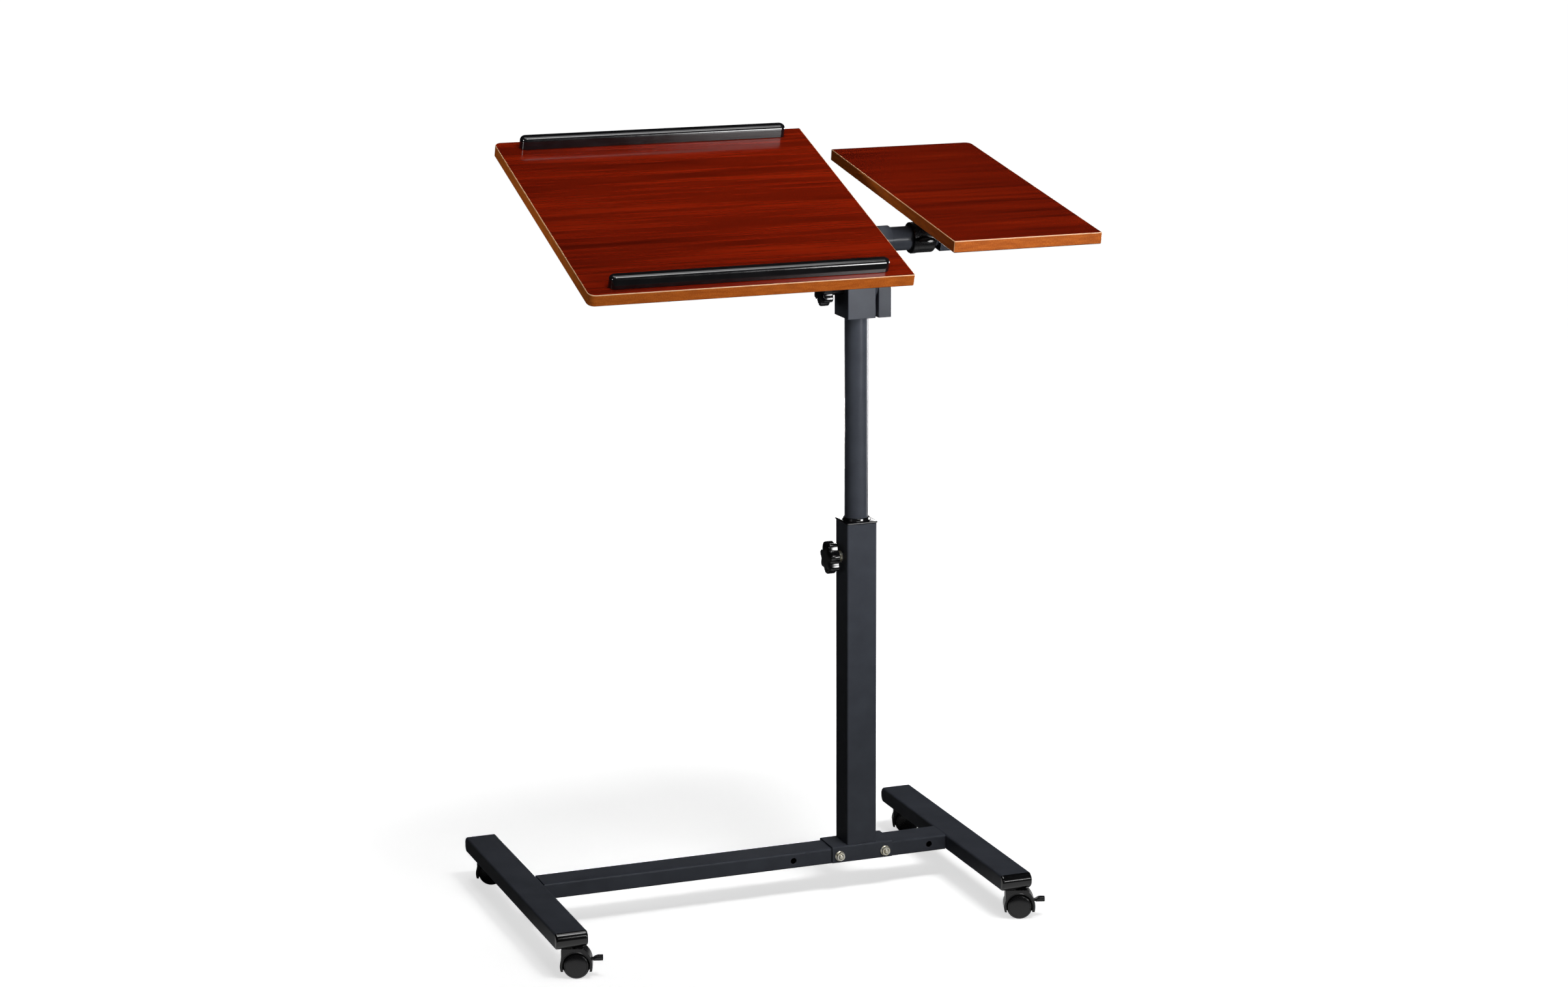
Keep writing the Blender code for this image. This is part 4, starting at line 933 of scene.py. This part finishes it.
laminate, band, edge_highlight, backing = mahogany_laminate(), edge_band(), painted_edge_highlight(), backing_paper()
for node, place, body, radii in (
        ("main_top", main_place, "carrier", (TOP_CORNER, TOP_SQUARE, TOP_SQUARE, TOP_CORNER)),
        ("side_top", side_place, "side", (TOP_SQUARE, TOP_SQUARE, TOP_CORNER, TOP_SQUARE))):
    low, high = spread(node, place)
    pocket = TOP_EASE - SHEET_GAP
    levels = ((low.z, TOP_EASE), (low.z + TOP_EASE, 0.0), (high.z - TOP_EASE, 0.0),
              (high.z - TOP_EASE * 0.3, TOP_EASE * 0.3), (high.z - SHEET_GAP, pocket),
              (high.z - LAMINATE - SHEET_GAP, pocket))
    stations = [(level, top_outline(low, high, radii, inset)) for level, inset in levels]
    # Finish 1 on the eased upper edge is the painted highlight.
    board = skin("Z", stations, strips=[2, 2, 0, 1, 1, 1, 2])
    # Band faces beside the square corners also take the painted highlight, as a pale line down each corner.
    for face in board.faces:
        middle = face.calc_center_median()
        for x, y, radius in zip((low.x, high.x, high.x, low.x), (low.y, low.y, high.y, high.y), radii):
            off = Vector((abs(middle.x - x), abs(middle.y - y)))
            if radius == TOP_SQUARE and face.material_index == 0 and off.length < CORNER_HIGHLIGHT_REACH:
                face.material_index = 1
    mapped(board)
    board = made_from(node + "_board", board, [band, edge_highlight, backing], place)
    settle(board, body, "mahogany_laminate", node)
    outline = top_outline(low, high, radii, TOP_EASE)
    face_sheet = skin("Z", [(high.z - LAMINATE, outline), (high.z, outline)])
    mapped(face_sheet)
    sheet = made_from(node + "_laminate", face_sheet, laminate, place)
    settle(sheet, body, "mahogany_laminate")


# Stop bars
# Two glossy black plastic bars with round ends and rounded upper edges, fixed along the front and
# back edges of the main top so that nothing slides off it when it is tilted.
STOP_ROUND = 0.0055
STOP_EASE = 0.0004


def bar_outline(size, inset):
    """Bar with half-round ends, drawn in all round by an inset."""
    reach, radius = (size.x - size.y) / 2, size.y / 2 - inset
    turns = [math.pi * (i / 20 - 0.5) for i in range(21)]
    right = [(reach + radius * math.cos(t), radius * math.sin(t)) for t in turns]
    return right + [(-a, -b) for a, b in right]


for end in ("front", "back"):
    node = end + "_stop"
    low, high = spread(node, main_place)
    size, middle = high - low, (low + high) / 2
    stations = [(low.z, bar_outline(size, STOP_EASE)), (low.z + STOP_EASE, bar_outline(size, 0.0))]
    for step in range(11):
        turn = math.pi / 2 * step / 10
        stations.append((high.z - STOP_ROUND + STOP_ROUND * math.sin(turn),
                         bar_outline(size, STOP_ROUND * (1 - math.cos(turn)))))
    bar = skin("Z", stations)
    place = main_place @ Matrix.Translation((middle.x, middle.y, 0.0))
    settle(made_from(end + "_stop_bar", bar, gloss, place), "carrier", "gloss_black", node)


# Collar and thumb screw
# Moulded collar of satin black plastic over the arm's right end, where the side tube comes out.
# A thumb screw with a flat oval wing goes through it and locks the side tube.
COLLAR_ROUND = 0.0034
COLLAR_EASE = 0.0006
COLLAR_BAND = 0.0065
COLLAR_STEP = 0.0005
THUMB_HOLE = 0.0033
WING_HALF = 0.0040
WING_HUB = 0.005
THUMB_STUD = 0.003
low, high = spread("arm_collar", main_place)
collar_radius = (high.z - low.z) / 2
body_radius = collar_radius - COLLAR_STEP
profile = [(arm_radius + FIT, low.x), (collar_radius - COLLAR_EASE, low.x),
           (collar_radius, low.x + COLLAR_EASE), (collar_radius, low.x + COLLAR_BAND - COLLAR_EASE),
           (body_radius, low.x + COLLAR_BAND)]
for step in range(9):
    turn = math.pi / 2 * step / 8
    profile.append((body_radius - COLLAR_ROUND * (1 - math.cos(turn)),
                    high.x - COLLAR_ROUND + COLLAR_ROUND * math.sin(turn)))
profile += [(ARM_BORE, high.x), (ARM_BORE, arm_high.x + FIT), (arm_radius + FIT, arm_high.x + FIT)]
collar = turned("X", profile, 64, (0.0, arm_z), closed=True)
thumb = joints["thumb_screw_turn"]
collar.transform(main_place)
hole = turned("Y", [(THUMB_HOLE, -0.05), (THUMB_HOLE, 0.0)], 24)
hole.transform(Matrix.Translation(thumb))
settle(made_from("arm_end_collar", carved(collar, hole), soft), "carrier", "soft_black", "arm_collar")
low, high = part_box("thumb_screw")
span = high.x - low.x
start = -(body_radius + FIT)
reach = thumb.y - low.y
wing_start = start - WING_HUB * 2 / 3
wing = wing_start + reach
stations = [(high.y - thumb.y, ring(THUMB_STUD * 0.8)), (high.y - thumb.y - 0.0008, ring(THUMB_STUD)),
            (start, ring(THUMB_STUD)), (start, ring(WING_HUB * 0.94)), (start - 0.0004, ring(WING_HUB))]
for along, wide, tall in (
        (0.0, 0.37, 0.98), (0.06, 0.50, 1.0), (0.15, 0.68, 1.0), (0.28, 0.86, 0.98), (0.42, 0.96, 0.94),
        (0.56, 1.0, 0.90), (0.70, 0.96, 0.84), (0.82, 0.85, 0.76), (0.92, 0.66, 0.64), (0.98, 0.42, 0.48),
        (1.0, 0.20, 0.28)):
    stations.append((wing_start - wing * along,
                     [(a * span / 2 * wide, b * WING_HALF * tall) for a, b in ring(1.0)]))
settle(made_from("thumb_wing", skin("Y", stations), soft, Matrix.Translation(thumb), crease=50.0),
       "side_grip", "soft_black", "thumb_screw")


# Side tube
# Round steel tube that turns inside the arm, powder coated black, with the side top's bracket on it.
# It is plain tube cut square at both ends, held at its tilt by the collar's thumb screw.
SIDE_WALL = 0.0015
low, high = spread("side_tube", side_place)
radius = (high.z - low.z) / 2
tube = round_tube("X", radius, radius - SIDE_WALL, low.x, high.x)
settle(made_from("side_round_tube", tube, powder, side_place), "side", "powder_black", "side_tube")


# Casters
# Four twin-wheel casters of satin black plastic: a hood on a steel stem that turns in the foot, and
# two domed wheels on a steel axle. The front two have a brake pedal behind the wheels.
WHEEL_RADIUS = 0.016
WHEEL_INNER = 0.0033
WHEEL_WIDTH = 0.0089
WHEEL_TREAD = 0.0046
TRAIL = 0.0095
HOOD_REACH = 0.0195
HOOD_NECK = 0.0178
HOOD_RISE = 0.024
HOOD_CROWN = 0.022
HOOD_CORNER = 0.0025
HOOD_HALF = 0.011
HOOD_WEB = 0.003
POCKET = 0.017
LIP = 0.0011
LIP_RISE = 0.0006
LIP_SECTION = ((0.0, -1.0), (1.0, -1.0), (1.0, 0.4), (0.75, 0.85), (0.3, 0.85), (0.0, 0.4))
HOOD_DROOP = 17
SWIVEL_DISC = 0.0095
STEM_RADIUS = 0.004
STEM_GROOVE = 0.0036
SLOT_WIDTH = 0.0040
SLOT_HEIGHT = 0.0064
SLOT_START = 0.0076
AXLE_HOLE = 0.0028
WHEEL_GROOVE = 0.81
DOME_SHARES = (1.0, 0.998, 0.99, 0.975, 0.95, 0.91, 0.86, 0.82, WHEEL_GROOVE, 0.80, 0.72, 0.62, 0.50,
               0.35, 0.20, 0.05)


def wheel_pair_tree():
    """Two wheels back to back along Y, the second turned half way round."""
    tree, given, end = named_tree("Wheel pair", [("Pattern", "Object"), ("Offset", "Float")])
    link, new = tree.links.new, tree.nodes.new
    line = new("GeometryNodeMeshLine")
    line.inputs["Count"].default_value = 2
    line.inputs["Offset"].default_value = (0.0, 0.0, 0.0)
    info = new("GeometryNodeObjectInfo")
    half_turn = new("ShaderNodeMath")
    half_turn.operation = "MULTIPLY"
    half_turn.inputs[1].default_value = math.pi
    turn = new("ShaderNodeCombineXYZ")
    shift = new("ShaderNodeCombineXYZ")
    moved = new("GeometryNodeTransform")
    put = new("GeometryNodeInstanceOnPoints")
    link(given["Pattern"], info.inputs["Object"])
    link(given["Offset"], shift.inputs["Y"])
    link(info.outputs["Geometry"], moved.inputs["Geometry"])
    link(shift.outputs["Vector"], moved.inputs["Translation"])
    link(new("GeometryNodeInputIndex").outputs[0], half_turn.inputs[0])
    link(half_turn.outputs[0], turn.inputs["Z"])
    link(line.outputs["Mesh"], put.inputs["Points"])
    link(moved.outputs["Geometry"], put.inputs["Instance"])
    link(turn.outputs["Vector"], put.inputs["Rotation"])
    link(put.outputs["Instances"], end)
    return tree


def bare_steel():
    """Plain drawn steel."""
    made, tree, shader, place = finish_base("bare_steel")
    drawn = speckle(tree, place, 700.0, 3.0)
    tinted(tree, shader, drawn, [(0.3, (0.36, 0.36, 0.37)), (0.7, (0.50, 0.50, 0.51))])
    polished(tree, shader, drawn, 0.28, 0.45)
    shader.inputs["Metallic"].default_value = 1.0
    return made


def swept(centre, radii, start, end, steps):
    """Arc of an ellipse as (a, b) points, between two angles."""
    turns = [start + (end - start) * i / steps for i in range(steps + 1)]
    return [(centre[0] + radii[0] * math.cos(t), centre[1] + radii[1] * math.sin(t)) for t in turns]


def hood_side():
    """Side view of the hood round the swivel: a neck with a flat crown, and an arch with round ends."""
    axle, tip, droop = (TRAIL, 0.0), (HOOD_REACH - POCKET) / 2, math.radians(HOOD_DROOP)
    back = swept(axle, (HOOD_REACH, HOOD_RISE), -droop, math.asin(HOOD_CROWN / HOOD_RISE), 32)
    neck = quarter(TRAIL - HOOD_NECK + HOOD_CORNER, HOOD_CROWN - HOOD_CORNER, HOOD_CORNER, 1)
    flare = math.pi - math.acos(HOOD_NECK / HOOD_REACH)
    front = swept(axle, (HOOD_REACH, HOOD_REACH), flare, math.pi + droop, 14)
    out, down = (HOOD_REACH - tip) * math.cos(droop), (HOOD_REACH - tip) * math.sin(droop)
    toe = swept((TRAIL - out, -down), (tip, tip), math.pi + droop, 1.5 * math.pi + droop, 6)
    heel = swept((TRAIL + out, -down), (tip, tip), 1.5 * math.pi - droop, 2 * math.pi - droop, 6)
    return back + neck + front + toe[1:] + heel[:-1]


steel = bare_steel()
wheel_pair = wheel_pair_tree()
roll_axis = next(joint["axis"] for joint in frame["joints"] if joint["name"] == "front_left_roll")
caster_turn = Matrix.Rotation(math.atan2(-roll_axis[0], roll_axis[1]), 4, "Z")
for end in ("front", "back"):
    for side in ("left", "right"):
        caster = "caster_%s_%s" % (end, side)
        fork, wheels = "%s_%s_fork" % (end, side), "%s_%s_wheels" % (end, side)
        place = Matrix.Translation(joints["%s_%s_swivel" % (end, side)]) @ caster_turn
        axle = (TRAIL, 0.0)
        hood = skin("Y", [(-HOOD_HALF, hood_side()), (HOOD_HALF, hood_side())])
        pockets = turned("Y", [
            (POCKET, -0.03), (POCKET, -HOOD_WEB), (AXLE_HOLE, -HOOD_WEB), (AXLE_HOLE, HOOD_WEB),
            (POCKET, HOOD_WEB), (POCKET, 0.03)], 64, axle)
        hood = carved(hood, pockets)
        if end == "front":
            slot = [(a, b + SLOT_HEIGHT) for a, b in rounded(SLOT_WIDTH, SLOT_HEIGHT, 0.0003, 2)]
            hood = carved(hood, skin("X", [(TRAIL + SLOT_START, slot), (TRAIL + 0.04, slot)]))
        for sign in (-1, 1):
            lip = []
            for step in range(41):
                angle = math.radians(-HOOD_DROOP + (180 + 2 * HOOD_DROOP) * step / 40)
                lip.append([(TRAIL + (POCKET + LIP * a) * math.cos(angle), sign * (HOOD_HALF + LIP_RISE * b),
                             (POCKET + LIP * a) * math.sin(angle)) for a, b in LIP_SECTION])
            bridged(hood, lip)
        turned("Z", [(SWIVEL_DISC, 0.021), (SWIVEL_DISC, 0.0232), (SWIVEL_DISC - 0.0005, 0.0237),
                     (STEM_RADIUS + 0.0001, 0.0237)], 48, bm=hood)
        settle(made_from(caster + "_shell", hood, soft, place), fork, "soft_black", caster + "_hood")
        stem = turned("Z", [
            (STEM_RADIUS, 0.0230), (STEM_RADIUS, 0.0360), (STEM_GROOVE, 0.0366), (STEM_GROOVE, 0.0372),
            (STEM_RADIUS, 0.0376), (STEM_RADIUS, 0.0380), (STEM_RADIUS * 0.7, 0.0387)], 32)
        settle(made_from(caster + "_stem", stem, steel, place), fork, "bare_steel")
        dome = [(AXLE_HOLE, 0.0065), (AXLE_HOLE, 0.0), (WHEEL_RADIUS - 0.0006, 0.0), (WHEEL_RADIUS, 0.0006)]
        for share in DOME_SHARES:
            groove = 0.0003 if share == WHEEL_GROOVE else 0.0
            swell = (WHEEL_WIDTH - WHEEL_TREAD) * math.sqrt(1 - share ** 2.6)
            dome.append((WHEEL_RADIUS * share, WHEEL_TREAD + swell - groove))
        pair = repeated(caster + "_wheel_pair", wheel_pair, turned("Y", dome, 72), soft,
                        place @ Matrix.Translation((TRAIL, 0.0, 0.0)), offset=WHEEL_INNER)
        settle(pair, wheels, "soft_black", caster + "_wheel_front", caster + "_wheel_back")
        refinish(caster + "_axle", steel)


# Brake pedals
# Moulded pedals of satin black plastic behind the front casters' wheels: a tongue in the hood's
# slot that widens into a flat foot plate with a hollow end.
PEDAL_WIDTH = 0.009
PEDAL_LENGTH = 0.0115
PEDAL_WALL = 0.0009
TONGUE = 0.0034
for side in ("left", "right"):
    node = "caster_front_%s_brake" % side
    place = Matrix.Translation(joints["front_%s_brake_press" % side]) @ caster_turn
    low, high = spread(node, place)
    root, tall = high.x - PEDAL_LENGTH, high.z - low.z
    wide = rounded(PEDAL_WIDTH, TONGUE, 0.0011, 4)
    slim = rounded(TONGUE, TONGUE, 0.0006, 4)
    stations = [(low.x, slim), (root, slim), (root, [(a * 0.94, b * 0.9) for a, b in wide])]
    for step in range(15):
        part = step / 14
        swell = 1 + (tall / TONGUE - 1) * math.sin(math.pi / 2 * min(1.0, part * 2))
        narrow = 1 - 0.15 * max(0.0, part * 2 - 1) ** 2
        stations.append((root + 0.0005 + (PEDAL_LENGTH - 0.0005) * part,
                         [(a * narrow, b * swell + TONGUE / 2 * (swell - 1)) for a, b in wide]))
    middle = (low.z + high.z) / 2
    mouth = rounded(PEDAL_WIDTH * 0.85 - 2 * PEDAL_WALL, tall - 2 * PEDAL_WALL, 0.0006, 3)
    hollow = [(a, b + middle) for a, b in mouth]
    pedal = carved(skin("X", stations), skin("X", [(high.x - 0.0050, hollow), (high.x + 0.01, hollow)]))
    piece = made_from(node + "_pedal", pedal, soft, place, crease=45.0)
    settle(piece, "front_%s_brake" % side, "soft_black", node)


# Floor, light and camera
# White studio floor that keeps a soft shadow, and a camera at the photograph's viewing angle. Lamps
# above and in front light the tops and the steel, one lights the left edges, and three the back.
FLOOR_LIFT = 0.64
SKY_FRONT = 0.06
SKY_BACK = 0.004


def ranged(tree, value, start, end, low, high):
    """Value led smoothly from one range into another."""
    span = tree.nodes.new("ShaderNodeMapRange")
    span.interpolation_type = "SMOOTHSTEP"
    for name, limit in (("From Min", start), ("From Max", end), ("To Min", low), ("To Max", high)):
        span.inputs[name].default_value = limit
    tree.links.new(value, span.inputs["Value"])
    return span.outputs["Result"]


def paired(tree, operation, first, second):
    """Two values worked into one."""
    pair = tree.nodes.new("ShaderNodeMath")
    pair.operation = operation
    tree.links.new(first, pair.inputs[0])
    tree.links.new(second, pair.inputs[1])
    return pair.outputs[0]


def studio_floor():
    """White floor: lifted to white where it is seen, and mirrored only in front of the table."""
    made, tree, shader, place = finish_base("studio_floor")
    path = tree.nodes.new("ShaderNodeLightPath").outputs
    away = tree.nodes.new("ShaderNodeVectorMath")
    away.operation = "LENGTH"
    tree.links.new(place, away.inputs[0])
    away = away.outputs["Value"]
    grey = ranged(tree, speckle(tree, place, 3.0), 0.3, 0.7, 0.93, 0.96)
    grey = paired(tree, "MULTIPLY", grey, ranged(tree, path["Is Camera Ray"], 0.0, 1.0, 0.2, 1.0))
    tree.links.new(grey, shader.inputs["Base Color"])
    shader.inputs["Roughness"].default_value = 0.9
    shader.inputs["Specular IOR Level"].default_value = 0.0
    shader.inputs["Emission Color"].default_value = (1.0, 1.0, 1.0, 1.0)
    seen = paired(tree, "MULTIPLY", path["Is Camera Ray"], ranged(tree, away, 0.3, 1.0, FLOOR_LIFT, 1.0))
    mirrored = paired(tree, "MAXIMUM", path["Is Glossy Ray"], path["Is Transmission Ray"])
    mirrored = paired(tree, "MULTIPLY", mirrored, ranged(tree, away, 0.55, 0.85, FLOOR_LIFT, 0.0))
    ahead = tree.nodes.new("ShaderNodeSeparateXYZ")
    tree.links.new(place, ahead.inputs["Vector"])
    mirrored = paired(tree, "MULTIPLY", mirrored, ranged(tree, ahead.outputs["Y"], -0.2, 0.1, 1.0, 0.0))
    tree.links.new(paired(tree, "ADD", seen, mirrored), shader.inputs["Emission Strength"])
    return made


plane = bmesh.new()
bmesh.ops.create_grid(plane, x_segments=1, y_segments=1, size=60.0)
floor = made_from("studio_floor", plane, studio_floor())

world = bpy.data.worlds.new("studio")
bpy.context.scene.world = world
world.use_nodes = True
sky = world.node_tree
facing_part = sky.nodes.new("ShaderNodeSeparateXYZ")
sky.links.new(sky.nodes.new("ShaderNodeTexCoord").outputs["Generated"], facing_part.inputs["Vector"])
front = ranged(sky, facing_part.outputs["Y"], -0.9, 0.2, SKY_FRONT, SKY_BACK)
sky.links.new(front, sky.nodes["Background"].inputs["Strength"])
sky.nodes["Background"].inputs["Color"].default_value = (1.0, 1.0, 1.0, 1.0)


def lamp(name, place, target, width, height, power, fan=180.0):
    """Soft rectangular lamp aimed at a point, its light fanning out by an angle in degrees."""
    light = bpy.data.lights.new(name, "AREA")
    light.shape = "RECTANGLE"
    light.size, light.size_y, light.energy = width, height, power
    light.spread = math.radians(fan)
    item = linked(name, light)
    item.location = place
    item.visible_camera = False
    item.rotation_euler = (Vector(target) - Vector(place)).to_track_quat("-Z", "Y").to_euler()


lamp("key", (0.4, -1.2, 2.5), (0.25, -0.1, 0.88), 1.0, 0.6, 2.2, 40.0)
lamp("front", (1.05, -1.95, 0.85), (0.0, 0.0, 0.85), 0.7, 0.7, 2.7, 40.0)
lamp("overhead", (-0.05, -0.45, 2.6), (-0.05, -0.45, 0.0), 1.6, 1.6, 19.0)
lamp("base", (0.5, -2.2, 1.2), (-0.05, 0.0, 0.05), 0.3, 0.3, 0.05, 24.0)
lamp("left strip", (-2.2, -1.0, 1.35), (-0.3, 0.0, 0.93), 0.3, 0.6, 0.42, 16.0)
lamp("back", (1.14, 2.77, 1.11), (0.119, 0.014, 0.49), 0.5, 0.25, 0.02, 14.0)
lamp("back fill", (2.6, 1.3, 0.35), (0.0, 0.0, 0.7), 0.8, 0.8, 3.1, 40.0)
lamp("low back", (0.70, 2.75, 0.045), (0.0, 0.0, 0.5), 0.9, 0.05, 2.4, 60.0)

SENSOR_WIDTH = 36.0
FOCAL_PIXELS = 5401.28
PHOTO_PIXELS = 2408.0
camera = bpy.data.cameras.new("camera")
camera.sensor_width = SENSOR_WIDTH
camera.lens = SENSOR_WIDTH * FOCAL_PIXELS / PHOTO_PIXELS
camera.clip_end = 500.0
eye = linked("camera", camera)
eye_place = (-1.48045, -3.96742, 1.48763)
yaw, pitch, roll = 0.36084, 0.22292, -0.00389
ahead = Vector((math.sin(yaw) * math.cos(pitch), math.cos(yaw) * math.cos(pitch), -math.sin(pitch)))
right = Vector((math.cos(yaw), -math.sin(yaw), 0.0))
up = right.cross(ahead)
right, up = right * math.cos(roll) + up * math.sin(roll), up * math.cos(roll) - right * math.sin(roll)
turn = Matrix((right, up, -ahead)).transposed().to_4x4()
eye.matrix_world = Matrix.Translation(eye_place) @ turn
bpy.context.scene.camera = eye
bpy.context.scene.view_settings.view_transform = "Standard"
